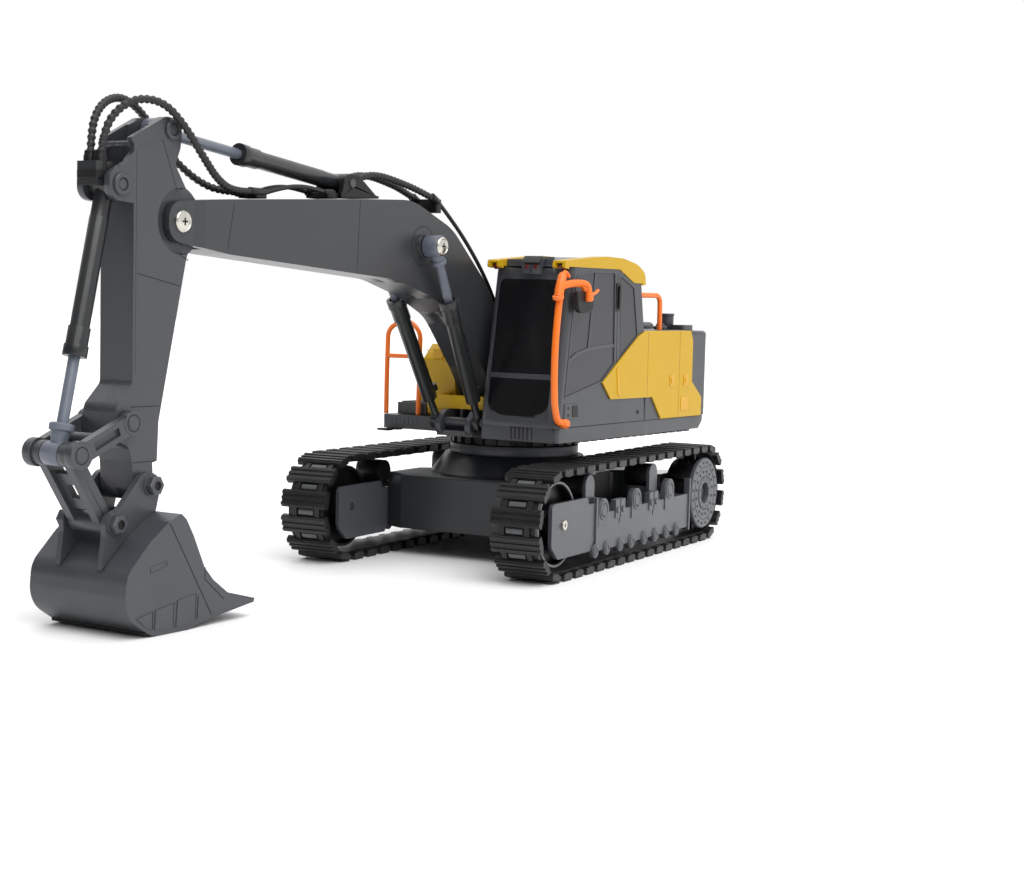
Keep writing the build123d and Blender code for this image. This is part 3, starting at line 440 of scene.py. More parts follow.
def track(name, side):
    """Endless rubber belt with its shoes."""
    loop = 2 * (FRONT_X - REAR_X) + 2 * pi * BAND_R
    pitch = loop / PAD_COUNT
    belt, guides = Shape(), Shape()
    count = 168
    low, high = sorted((side * (TRACK_IN + 3.5), side * (TRACK_OUT - 3.5)))
    rings = []
    for i in range(count):
        place = belt_place(loop * i / count)
        rings.append([place @ Vector((0, w, r)) for w, r in
                      ((low, IN_R), (high, IN_R), (high, BAND_R - 0.4), (low, BAND_R - 0.4))])
    belt.loft(rings, closed=False)
    for i in range(PAD_COUNT):
        add_part(belt, belt_place((i + 0.5) * pitch), lambda part: draw_pad(part, side))
        add_part(belt, belt_place(i * pitch), lambda part: draw_links(part, side))
        add_part(guides, belt_place(i * pitch), lambda part: draw_guide(part, side))
    for shape in (belt, guides):
        for vert in shape.mesh.verts:
            vert.co.z = max(vert.co.z, 0.0)
    belt.piece(f"track_{name}", "undercarriage", "track_rubber", place=UNDER, bevel=0.22,
               replaces=(f"track_belt_{name}",))
    guides.piece(f"track_guides_{name}", "undercarriage", "guide_grey", "track_rubber", UNDER, bevel=0.2)


def sprocket_disc(name, side):
    """Drive cover with ring grooves, two bolt circles and a deep hub."""
    centre = drawn_under(f"sprocket_{name}_spin", side, 76.5)
    out = (0, side, 0)
    cover = Shape()
    profile = [(0, 0), (0, 22.1), (2.0, 22.1), (2.6, 21.5), (2.6, 17.2), (2.2, 16.9), (2.2, 16.3),
               (2.6, 16.0), (2.6, 11.0), (2.1, 10.8), (2.1, 10.2), (2.9, 9.9), (2.9, 6.9), (2.6, 6.6),
               (-0.6, 6.3), (-0.6, 0)]
    cover.lathe(centre, out, profile, 72)
    cover.piece(f"sprocket_disc_{name}", f"sprocket_{name}", "frame_grey", "black_plastic", UNDER, bevel=0.0,
                replaces=(f"sprocket_cover_{name}",))
    bolts = Shape()
    for count, radius, size in ((16, 13.5, 0.85), (12, 8.4, 0.7), (20, 19.2, 0.75)):
        for i in range(count):
            angle = 2 * pi * (i + 0.5) / count
            spot = centre + Vector((radius * cos(angle), 0, radius * sin(angle)))
            bolts.lathe(spot, out, [(2.5, size), (3.0, size), (3.2, size * 0.7), (3.2, 0)], 14)
    bolts.piece(f"sprocket_bolts_{name}", f"sprocket_{name}", "frame_grey", "black_plastic", UNDER)
    hub = Shape()
    hub.lathe(centre, out, [(-0.4, 6.4), (-0.3, 5.0), (0.7, 4.4), (0.9, 0)], 40)
    hub.piece(f"sprocket_hub_{name}", f"sprocket_{name}", "black_plastic", place=UNDER)


def drawn_under(joint, side, y):
    """Point of a wheel's axis in the undercarriage's own drawing frame."""
    local = UNDER.inverted() @ Vector(JOINTS[joint]["pos_m"])
    return Vector((local.x, side * y, local.z))


def idler_rim(name, side):
    """Bright rim on the idler's outer face."""
    centre = drawn_under(f"idler_{name}_spin", side, 73.2)
    # painted highlight: this ring is a lighter grey than the idler, for the light on its rim
    rim = Shape()
    out = (0, side, 0)
    rim.lathe(centre, out, [(-0.2, 21.6), (0.7, 21.7), (1.0, 22.0), (1.0, 22.7), (0.6, 23.0), (-0.2, 23.0),
                            (-0.2, 21.6)], 80)
    rim.piece(f"idler_rim_{name}", f"idler_{name}", "rim_painted_highlight", "frame_grey", UNDER)


BOSSES = ((42.0, 33.2), (-4.0, 35.0), (-54.0, 36.5))
ROLLERS = (51.7, 36.3, 17.7, 2.0, -17.0, -33.5, -50.5, -66.4)


def side_plate_details(name, side):
    """Turned bosses, roller caps and pairs of small caps on the side plate."""
    out = (0, side, 0)
    caps = Shape()
    for x, z in BOSSES:
        spot = (x, side * 78.4, z)
        caps.lathe(spot, out, [(-0.3, 5.6), (0.3, 5.6), (0.55, 5.3), (0.55, 4.4), (0.0, 4.1), (0.0, 3.3),
                               (0.5, 3.0), (0.6, 0)], 40)
    for x in ROLLERS:
        spot = (x, side * 78.6, 11.5)
        caps.lathe(spot, out, [(-0.3, 3.0), (0.3, 2.9), (0.5, 2.6), (0.5, 1.9), (0.1, 1.6), (0.1, 0)], 28)
    for x in (19.0, -29.5):
        for offset in (-3.6, 3.6):
            caps.lathe((x + offset, side * 78.4, 31.5), out,
                       [(-0.3, 1.9), (0.5, 1.9), (0.8, 1.6), (0.8, 0)], 24)
    caps.piece(f"side_plate_caps_{name}", "undercarriage", "frame_grey", place=UNDER)


def slew_teeth():
    """Notched drip ring between the undercarriage and the deck."""
    ring = Shape()
    for i in range(28):
        angle = 2 * pi * i / 28
        place = Matrix.Rotation(angle, 4, "Z")
        add_part(ring, place, lambda part: part.box((35.5, 38.2), (-2.2, 2.2), (64.6, 70.4)))
    ring.piece("slew_teeth", "upper", "black_plastic", bevel=0.25)


# Upper structure
def cab_front(z):
    """X of the leaning windshield's corner line at a height."""
    return 66.8 - 0.154 * (z - 79.2)


DOOR_PANE = [(58.2, 95.8), (53.4, 131.5), (48.2, 162.6, 3), (29.2, 164.9, 40), (5.8, 165.0, 2), (4.2, 113.6),
             (18.4, 103.8)]
REAR_PANE = [(-1.0, 163.4, 1), (-17.2, 156.8, 2), (-22.8, 129.8), (-3.0, 117)]


def shrunk(corners, amount):
    """Outline moved towards its middle, for a frame or pane inside it."""
    middle = sum((Vector(corner[:2]) for corner in corners), Vector((0, 0))) / len(corners)
    return [(*(Vector(corner[:2]) + (middle - Vector(corner[:2])).normalized() * amount), *corner[2:])
            for corner in corners]


def cab_door():
    """Panes, pillars and mouldings on the cab's left side."""
    panes = Shape()
    for corners in (DOOR_PANE, REAR_PANE):
        panes.prism(shrunk(corners, -0.3), "side", CAB_SIDE - 1.2, CAB_SIDE - 0.3)
    # painted reflection: the side panes use the lighter copy of the tinted window
    panes.piece("side_panes", "upper", "side_glass_painted_reflection", "tinted_window")
    bars = Shape()
    bars.strip([(27.9, 165.0), (34.2, 122.6)], "side", CAB_SIDE - 0.8, CAB_SIDE + 0.15, 1.3)
    arc = [(55.2, 115.6), (46.8, 119.6), (33.5, 122.1), (19.7, 123.3), (5.0, 123.8)]
    bars.strip(arc, "side", CAB_SIDE - 0.8, CAB_SIDE + 0.25, 1.9)
    bars.strip([(p.x, p.y) for p in outline(shrunk(DOOR_PANE, -0.2))], "side", CAB_SIDE - 0.6,
               CAB_SIDE + 0.3, 0.9, closed=True)
    bars.strip([(p.x, p.y) for p in outline(shrunk(REAR_PANE, -0.2))], "side", CAB_SIDE - 0.6,
               CAB_SIDE + 0.2, 0.7, closed=True)
    bars.piece("door_bars", "upper", "slate_plastic", bevel=0.15)
    handle = Shape()
    handle.prism([(-0.9, 143.5, 1), (-1.2, 159, 1), (4.6, 159.4, 1), (4.6, 143.2, 1)], "side",
                 CAB_SIDE - 0.2, CAB_SIDE + 0.6)
    handle.prism([(0.3, 144.6, 0.8), (0.1, 157.8, 0.8), (2.4, 157.8, 0.8), (2.5, 144.6, 0.8)], "side",
                 CAB_SIDE + 0.4, CAB_SIDE + 1.5)
    handle.piece("door_handle", "upper", "black_plastic", bevel=0.25)
    seams = Shape()
    seams.strip([(2.3, 164.4), (1.4, 112.6)], "side", CAB_SIDE - 0.3, CAB_SIDE + 0.05, 0.5)
    seams.piece("door_seams", "upper", "seam_dark", "black_plastic")


def cab_front_details():
    """Bar across the windshield and the pane over its lower edge."""
    def bowed(y, z, lift):
        low, high = 18.6, CAB_SIDE
        share = (y - low) / (high - low)
        return cab_front(z) + 3.5 * 4 * share * (1 - share) + lift

    bar = Shape()
    rows = []
    for k in range(13):
        y = 23.4 + (62.6 - 23.4) * k / 12
        rows.append([(bowed(y, z, lift), y, z)
                     for z, lift in ((105.4, -1.2), (105.4, 0.1), (108.2, 0.1), (108.2, -1.2))])
    bar.loft(rows)
    bar.piece("windshield_bar", "upper", "slate_plastic", bevel=0.2)
    pane = Shape()
    rows = []
    for k in range(25):
        y = 26.5 + (59.5 - 26.5) * k / 24
        foot = 85.0 + 4.0 * abs((y - 43) / 16.5) ** 5
        rows.append([(bowed(y, z, lift), y, z)
                     for z, lift in ((foot, -1.0), (foot, 0.06), (93.0, 0.06), (93.0, -1.0))])
    pane.loft(rows)
    pane.piece("windshield_foot", "upper", "tinted_window")


def roof_details():
    """Lamps in the roof's visors and in the forward camera box."""
    lamps = Shape()
    for middle in (22.4, 64.4):
        lamps.lathe((59.0, middle, 167.0), (1, 0, -0.3), [(-0.8, 1.9), (0.8, 1.8), (1.5, 1.0), (1.6, 0)], 24)
    for middle in (43.3, 49.1):
        lamps.lathe((60.7, middle, 166.8), (1, 0, 0.3), [(-0.5, 1.5), (0.3, 1.4), (0.6, 0.8), (0.7, 0)], 24)
    lamps.piece("roof_lamps", "upper", "lamp_red", "black_plastic")
    brow = Shape()
    brow.prism([(58.0, 172.2, 0.5), (61.3, 168.8, 0.5), (61.9, 168.9, 0.3), (58.6, 172.9, 0.5)], "side",
               40.6, 51.8)
    brow.prism([(60.0, 163.4), (61.0, 166.6), (61.5, 166.4), (60.6, 163.2)], "side", 45.6, 46.8)
    brow.piece("camera_visor", "upper", "dark_slate_and_painted_shade", "slate_plastic", bevel=0.2)
    ribs = Shape()
    for k in range(5):
        x = 24.0 - 8.4 * k
        ribs.box((x - 0.35, x + 0.35), (28.6, 58.4), (172.0, 173.35 - 0.004 * (x - 8) ** 2))
    ribs.piece("roof_ribs", "upper", "slate_plastic", bevel=0.2)


def flank_details():
    """Seams, latches and plates on the yellow side door, and the small fittings below the cab."""
    face = CAB_SIDE + 1.0
    seams = Shape()
    for points in ([(0.2, 111.4), (-1.4, 93.8)], [(-35.0, 131.6), (-35.3, 93.4)],
                   [(-76, 131.8), (-76.2, 79.9)]):
        seams.strip(points, "side", face - 0.3, face + 0.04, 0.35)
    seams.piece("flank_seams", "upper", "yellow_seam", "yellow_plastic")
    slate = Shape()
    slate.strip([(-34.9, 92.9), (-35.2, 79.6)], "side", CAB_SIDE - 0.3, CAB_SIDE + 0.06, 0.5)
    slate.strip([(60, 79.3), (-105, 79.2)], "side", CAB_SIDE - 0.3, CAB_SIDE + 0.06, 0.4)
    slate.piece("sill_seams", "upper", "seam_dark", "slate_plastic")
    latches = Shape()
    for x in (-66.2, -84.6):
        latches.prism([(x - 3.2, 98.6, 0.6), (x + 2.6, 98.6, 0.6), (x + 2.6, 105.4, 0.6),
                       (x - 3.2, 105.4, 0.6)],
                      "side", face - 0.2, face + 0.45)
        latches.prism([(x - 1.9, 100.4, 0.4), (x + 1.4, 100.4, 0.4), (x + 1.4, 103.6, 0.4),
                       (x - 1.9, 103.6, 0.4)],
                      "side", face + 0.2, face + 0.9)
    latches.prism([(-88, 83.6, 0.5), (-79, 83.6, 0.5), (-79, 92, 0.5), (-88, 92, 0.5)], "side",
                  face - 0.2, face + 0.35)
    latches.prism([(-1.2, 95.6, 0.5), (1.0, 95.6, 0.5), (2.6, 110.6, 0.5), (0.6, 111.4, 0.5)], "side",
                  face - 0.2, face + 0.5)
    latches.piece("flank_latches", "upper", "yellow_dark", "yellow_plastic", bevel=0.15)
    box = Shape()
    box.prism([(42.5, 83.6, 0.8), (59.2, 83.6, 0.8), (58.6, 92.4, 0.8), (43.2, 92.4, 0.8)], "side",
              CAB_SIDE - 0.2, CAB_SIDE + 0.4)
    box.piece("lamp_box", "upper", "slate_plastic", bevel=0.15)
    dark = Shape()
    for z in (86.0, 90.0):
        dark.lathe((54.6, CAB_SIDE + 0.3, z), (0, 1, 0), [(0, 0.8), (0.25, 0.8), (0.3, 0)], 20)
    dark.prism([(44.4, 84.8, 0.5), (50.6, 84.8, 0.5), (50.4, 91.2, 0.5), (44.8, 91.2, 0.5)], "side",
               CAB_SIDE + 0.3, CAB_SIDE + 0.6)
    dark.lathe((-26.2, CAB_SIDE, 84.6), (0, 1, 0), [(-0.2, 1.2), (0.4, 1.1), (0.5, 0)], 20)
    dark.piece("flank_dark", "upper", "black_plastic", bevel=0.0)


def deck_details():
    """Vents on the front sills and the ribs under the deck's edge."""
    flutes = Shape()
    for k in range(6):
        y = 38.5 + 2.6 * k
        flutes.lathe((66.3, y, 71.9), (0, 0, 1), [(0, 0), (0, 0.8), (6.4, 0.8), (6.8, 0.5), (6.8, 0)], 12)
    flutes.piece("sill_flutes", "upper", "slate_plastic")
    gaps = Shape()
    for k in range(5):
        y = 39.8 + 2.6 * k
        gaps.box((65.6, 66.15), (y - 0.45, y + 0.45), (72.2, 78.4))
    for k in range(7):
        y = -60.0 + 3.0 * k
        gaps.box((41.8, 42.2), (y - 0.5, y + 0.5), (72.8, 77.4))
    gaps.piece("sill_gaps", "upper", "slate_plastic")
    ribs = Shape()
    for k in range(16):
        x = 48.0 - 9.6 * k
        ribs.box((x - 2.6, x + 2.6), (58.0, 66.0), (69.9, 71.1))
        ribs.box((x - 2.6, x + 2.6), (-64.0, -56.0), (69.9, 71.1))
    ribs.piece("deck_ribs", "upper", "black_plastic", bevel=0.15)


def hood_details():
    """Grille slots on the engine cover and the rim of the exhaust."""
    frame_rim = Shape()
    slots = Shape()
    for k in range(8):
        x = -52.0 - 5.8 * k
        frame_rim.prism([(x - 1.5, 136.4), (x - 1.2, 137.5, 0.3), (x + 1.0, 137.5, 0.3), (x + 1.6, 136.4)],
                        "side", -38, 22)
        slots.box((x - 3.3, x - 1.9), (-37.5, 21.5), (136.3, 136.75))
    frame_rim.piece("hood_louvres", "upper", "slate_plastic", bevel=0.2)
    slots.piece("hood_slots", "upper", "seam_dark", "black_plastic")
    rim = Shape()
    rim.ring((-104, 45, 141.7), (0, 0, 1), 3.0, 4.75, -1.2, 0.35)
    rim.piece("stack_rim", "upper", "slate_plastic", bevel=0.25)
    caps = Shape()
    for x, y in ((-47, 48), (-86, 50)):
        caps.disc((x, y, 132.1), (0, 0, 1), 4.2, 0, 2.4, 0.6)
        caps.disc((x, y, 132.1), (0, 0, 1), 2.8, 2.3, 3.6, 0.5)
    caps.prism([(-112, 51, 2), (-112, 60, 2), (-98, 60, 2), (-98, 51, 2)], "plan", 131.6, 135.2)
    caps.piece("filler_caps", "upper", "slate_plastic", bevel=0.4)


def weight_details():
    """Seam round the counterweight and the bolt plugs at its back."""
    seam = Shape()
    path = outline([(-93.9, 66.03), (-122.03, 66.03, 6), (-124.53, 0, 150), (-122.03, -66.03, 6),
                    (-93.9, -66.03)], 10)
    rows = [[seam.mesh.verts.new((p.x, p.y, z)) for p in path] for z in (84.2, 84.6)]
    for k in range(1, len(path)):
        seam.mesh.faces.new((rows[0][k - 1], rows[0][k], rows[1][k], rows[1][k - 1]))
    seam.piece("weight_seam", "upper", "seam_dark", "black_plastic")
    plugs = Shape()
    for y in (-30, 30):
        plugs.disc((-123.2, y, 112), (-1, 0, 0), 4.2, -0.6, 0.5, 0.3)
    for y in (-54, 54):
        plugs.prism([(y - 6, 92, 1.5), (y + 6, 92, 1.5), (y + 6, 98, 1.5), (y - 6, 98, 1.5)], "front",
                    -123.2, -121.6)
    plugs.piece("weight_plugs", "upper", "dark_slate_and_painted_shade", "slate_plastic", bevel=0.25)


def platform_details():
    """Anti-slip ribs on the right tread, and the tool box lid's seam and latch."""
    treads = Shape()
    for k in range(7):
        x = 14.2 + 2.7 * k
        treads.box((x - 0.6, x + 0.6), (-60.4, -42.4), (85.8, 86.7))
    treads.piece("tread_ribs", "upper", "slate_plastic", bevel=0.2)
    lid = Shape()
    lid.strip([(-8, 108.6), (3.6, 117.6), (36.4, 117.6)], "side", -40.1, -39.9, 0.45)
    lid.strip([(-8, 108.6), (3.6, 117.6), (36.4, 117.6)], "side", -19.1, -18.9, 0.45)
    lid.piece("tool_box_seam", "upper", "yellow_seam", "yellow_plastic")
    latch = Shape()
    latch.prism([(-33.5, 113.0, 0.6), (-26.5, 113.0, 0.6), (-26.5, 119.0, 0.6), (-33.5, 119.0, 0.6)],
                "front", 37.0, 38.6)
    latch.piece("tool_box_latch", "upper", "yellow_dark", "yellow_plastic", bevel=0.3)


def mirror():
    """Rounded black mirror on its orange bracket, with the sleeve and hook at the rail's top."""
    head = Shape()
    head.prism([(59.2, 153.6, 1.5), (40.2, 154.2, 1.5), (41.0, 142.0, 4.5), (57.4, 142.2, 4.5)], "side",
               71.9, 75.1)
    head.piece("mirror_housing", "upper", "black_plastic", "orange_rail", bevel=0.8,
               replaces=("mirror_head",))
    arm = Shape()
    points = nurbs([(67.0, 68.9, 156.6), (61.5, 71.4, 158.3), (54.0, 73.6, 158.6), (48.6, 75.0, 158.0),
                    (47.4, 75.6, 154.0), (48.4, 75.9, 150.8), (48.6, 75.9, 148.6)])
    arm.sweep(points, [1.75] * len(points))
    arm.lathe((48.0, 75.9, 151.8), (0, 0, -1),
              [(-1.2, 1.8), (-0.9, 2.5), (2.6, 2.4), (3.4, 1.6), (3.4, 0)], 24)
    hook = nurbs([(47.5, 75.8, 152.6), (44.4, 76.0, 152.4), (41.2, 76.0, 153.2), (38.4, 76.0, 154.8)])
    arm.sweep(hook, [0.9] * len(hook), 12)
    arm.sweep([Vector((68.9, 68.9, 150.6)), Vector((66.9, 68.6, 156.0)), Vector((64.6, 68.5, 162.0)),
               Vector((63.9, 68.5, 163.4))], [2.5, 2.6, 2.4, 1.5], 24)
    arm.lathe((69.1, 68.9, 150.4), (0.3, 0, 1), [(-0.9, 0), (-0.9, 3.1), (0.9, 3.2), (1.3, 2.6), (1.3, 0)],
              28)
    tip = nurbs([(64.6, 68.5, 161.4), (63.4, 68.6, 164.2), (60.6, 68.9, 163.6), (59.0, 69.2, 161.4)])
    arm.sweep(tip, [1.15] * len(tip), 14)
    arm.lathe((60.2, 70.4, 81.8), (1, 0, 0.1), [(-0.5, 0), (-0.5, 2.6), (3.0, 2.5), (3.6, 1.9), (3.6, 0)],
              24)
    arm.piece("mirror_bracket", "upper", "orange_rail")


def nurbs(points, order=3, resolution=24):
    """Fine points along the smooth curve that has these as its control points."""
    data = bpy.data.curves.new("route", "CURVE")
    data.dimensions = "3D"
    data.resolution_u = resolution
    spline = data.splines.new("NURBS")
    spline.points.add(len(points) - 1)
    for target, point in zip(spline.points, points):
        target.co = (*point, 1)
    spline.order_u = order
    spline.use_endpoint_u = True
    carrier = bpy.data.objects.new("route", data)
    bpy.context.collection.objects.link(carrier)
    bpy.context.view_layer.update()
    mesh = bpy.data.meshes.new_from_object(carrier)
    line = [vert.co.copy() for vert in mesh.vertices]
    bpy.data.objects.remove(carrier)
    bpy.data.meshes.remove(mesh)
    return line


# Boom, arm and bucket
def boom_details():
    """Seams and foot rings on both boom sides."""
    seam = Shape()
    seam.strip([(170.2, 196.8), (172.2, 160.2)], "side", BOOM_HALF - 0.1, BOOM_HALF + 0.04, 0.35)
    seam.ring((114.5, BOOM_HALF, 175.6), (0, 1, 0), 10.4, 10.75, -0.3, 0.05)
    seam.strip([(265.9, 190.2), (270.1, 168.2)], "side", BOOM_HALF - 0.1, BOOM_HALF + 0.04, 0.35)
    seam.mirrored()
    seam.piece("boom_seams", "boom", "seam_dark", "black_plastic")
    rings = Shape()
    rings.ring((BOOM_FOOT.x, BOOM_HALF, BOOM_FOOT.z), (0, 1, 0), 6.2, 8.0, -0.3, 0.5)
    rings.mirrored()
    rings.piece("boom_rings", "boom", "slate_plastic", bevel=0.15)


def arm_details():
    """Border ridge and seams of the arm's side covers."""
    ridge = Shape()
    ridge.strip([(327.4, 112), (327.3, 209.4), (326.2, 210.8), (312.2, 214.9)], "side", ARM_HALF - 0.2,
                ARM_HALF + 0.16, 0.7)
    ridge.mirrored()
    ridge.piece("arm_borders", "arm", "slate_plastic", bevel=0.12)
    seams = Shape()
    for line in ([(311.8, 215.0), (302.4, 193.4)], [(326.8, 156.1), (299.6, 151.0)],
                 [(301.4, 165.6), (294.6, 162.6)],
                 [(312.2, 98.0), (330.4, 98.0)], [(314.4, 73.6), (328.4, 73.6)]):
        seams.strip(line, "side", ARM_HALF - 0.2, ARM_HALF + 0.03, 0.4)
    seams.mirrored()
    seams.piece("arm_seams", "arm", "seam_dark", "black_plastic")
    rings = Shape()
    rings.ring((ROCKER_PIVOT.x, ARM_HALF, ROCKER_PIVOT.z), (0, 1, 0), 5.6, 6.6, -0.2, 0.3)
    for x, z, radius in ((305.6, 219.8, 4.6), (336.6, 193.9, 4.9)):
        rings.lathe((x, ARM_HALF, z), (0, 1, 0), [(-0.4, radius), (0.9, radius), (1.3, radius - 0.4),
                                                  (1.3, 2.9), (0.2, 2.6), (0.2, 0)], 40)
    rings.mirrored()
    rings.piece("arm_rings", "arm", "slate_plastic")
    # painted shade: a dark hexagon covers the floor of each pin boss's recess
    pin_socket_shade = Shape()
    for x, z in ((305.6, 219.8), (336.6, 193.9)):
        pin_socket_shade.lathe((x, ARM_HALF, z), (0, 1, 0), [(0.1, 2.6), (0.35, 2.5), (0.35, 0)], 6)
    pin_socket_shade.mirrored()
    pin_socket_shade.piece("arm_pin_socket_shade", "arm", "seam_dark", "black_plastic", smooth=20)


def screws():
    """Plated cross-head screws at the arm's pivot and on the boom cylinders."""
    for name, body, node, centre, face in (
            ("arm_pivot_heads", "boom", "arm_pivot_screws", ARM_PIVOT, 10.6),
            ("boom_cylinder_heads", "boom_rods", "boom_cylinder_screws", Vector((114.5, 0, 175.6)), 23.2)):
        head, cross = Shape(), Shape()
        spot = (centre.x, face, centre.z)
        head.lathe(spot, (0, 1, 0), [(0, 4.9), (0.9, 4.9), (1.4, 4.5), (1.5, 3.9), (1.2, 3.6), (1.35, 3.2),
                                     (1.65, 2.2), (1.75, 0)], 56)
        for across, up in ((1.7, 0.4), (0.4, 1.7)):
            cross.box((centre.x - across, centre.x + across), (face + 1.2, face + 1.8),
                      (centre.z - up, centre.z + up))
        head.mirrored()
        cross.mirrored()
        head.piece(name, body, "screw_steel", replaces=(node,))
        cross.piece(f"{name}_cross", body, "seam_dark", "black_plastic")


def fittings():
    """Hose sleeves, clamps and straps, and the small elbows on the boom cylinders."""
    block = Shape()
    for y in (-3.0, 3.0):
        block.lathe((342.5, y, 203.0), (0, 0, 1),
                    [(-7.0, 0), (-7.0, 2.9), (2.6, 2.9), (3.2, 2.6), (4.8, 2.5),
                                                  (5.2, 2.0), (5.2, 0)], 28)
    block.prism([(337.2, -6.2, 1.5), (348.0, -6.2, 1.5), (348.0, 6.2, 1.5), (337.2, 6.2, 1.5)], "plan",
                196.0, 199.6)
    block.piece("hose_block_sleeves", "bucket_barrel", "black_plastic", bevel=0.3)
    clamps = Shape()
    clamps.prism([(236.0, -6.0, 1), (243.8, -6.0, 1), (243.8, 6.0, 1), (236.0, 6.0, 1)], "plan", 193.6,
                 195.4)
    clamps.prism([(182.6, -7.4, 1.5), (191.4, -7.4, 1.5), (191.4, 7.4, 1.5), (182.6, 7.4, 1.5)], "plan",
                 196.7, 199.4)
    for y in (-4.0, 4.0):
        clamps.lathe((247.0, y, 196.3), (-1, 0, 0),
                     [(0, 0), (0, 2.3), (8.4, 2.3), (9.0, 1.9), (11.2, 1.7), (11.2, 0)], 24)
    for y in (-5.4, 5.4):
        clamps.lathe((192.6, y, 199.4), (-1, 0, 0), [(0, 0), (0, 1.7), (7.6, 1.9), (8.0, 0)], 20)
    for y in (-6.3, 6.3):
        clamps.lathe((100.6, y, 202.6), (-0.9, 0, -0.44),
                     [(0, 0), (0, 2.4), (5.6, 2.4), (6.4, 2.0), (9.4, 1.5),
                                                           (9.4, 0)], 24)
        clamps.lathe((27.2, y * 1.03, 132.6), (-0.45, 0, -0.9),
                     [(0, 0), (0, 1.7), (5.4, 2.0), (9.4, 2.1), (9.4, 0)], 20)
    clamps.prism([(97.6, -8.0, 1), (92.8, -8.0, 1), (92.8, 8.0, 1), (97.6, 8.0, 1)], "plan", 194.2, 201.6)
    clamps.prism([(19.0, 127.6), (25.2, 125.8), (24.4, 121.0), (18.6, 117.6)], "side", -8.6, 8.6)
    clamps.piece("hose_clamps", "boom", "black_plastic", bevel=0.3, replaces=("hose_clips",))
    elbows = Shape()
    start, end = Vector((CYL_FOOT.x, 14.0, CYL_FOOT.z)), Vector((114.5, 19.0, 175.6))
    way = (end - start).normalized()
    out = way.cross(Vector((0, 1, 0))).normalized()
    spot = start + way * 18.0
    elbows.sweep([spot, spot + out * 6.0, spot + out * 6.8 + way * 0.6], [1.5, 1.5, 1.3], 16)
    elbows.sweep([spot + out * 6.4 - way * 1.8, spot + out * 6.4 + way * 2.2], [1.9, 1.9], 16)
    elbows.mirrored()
    elbows.piece("cylinder_elbows", "boom_barrels", "dark_slate_and_painted_shade", "black_plastic", bevel=0.15)


def linkage_details():
    """Ring marks and caps on the lever ends, and the collar on the bucket rod."""
    rings = Shape()
    for spot in (ROCKER_END, ROCKER_PIVOT):
        rings.ring((spot.x, 14.8, spot.z), (0, 1, 0), 3.4, 3.9, -0.3, 0.05)
    rings.mirrored()
    rings.piece("rocker_rings", "rocker", "seam_dark", "black_plastic")
    caps = Shape()
    for spot in (ROCKER_END, ROCKER_PIVOT):
        caps.disc((spot.x, 14.8, spot.z), (0, 1, 0), 2.9, -0.3, 0.35, 0.2)
    caps.mirrored()
    caps.piece("rocker_caps", "rocker", "slate_plastic")
    collar = Shape()
    top = Vector((BUCKET_CYL_FOOT.x, 0, BUCKET_CYL_FOOT.z))
    eye = Vector((ROCKER_END.x, 0, ROCKER_END.z))
    way = (top - eye).normalized()
    collar.lathe(eye + way * 10.5, way,
                 [(-6.0, 3.6), (-1.0, 4.2), (-0.6, 5.3), (1.8, 5.5), (2.4, 5.0), (2.8, 3.2)], 32)
    collar.piece("bucket_rod_collar", "bucket_rod", "rod_plastic", bevel=0.2)


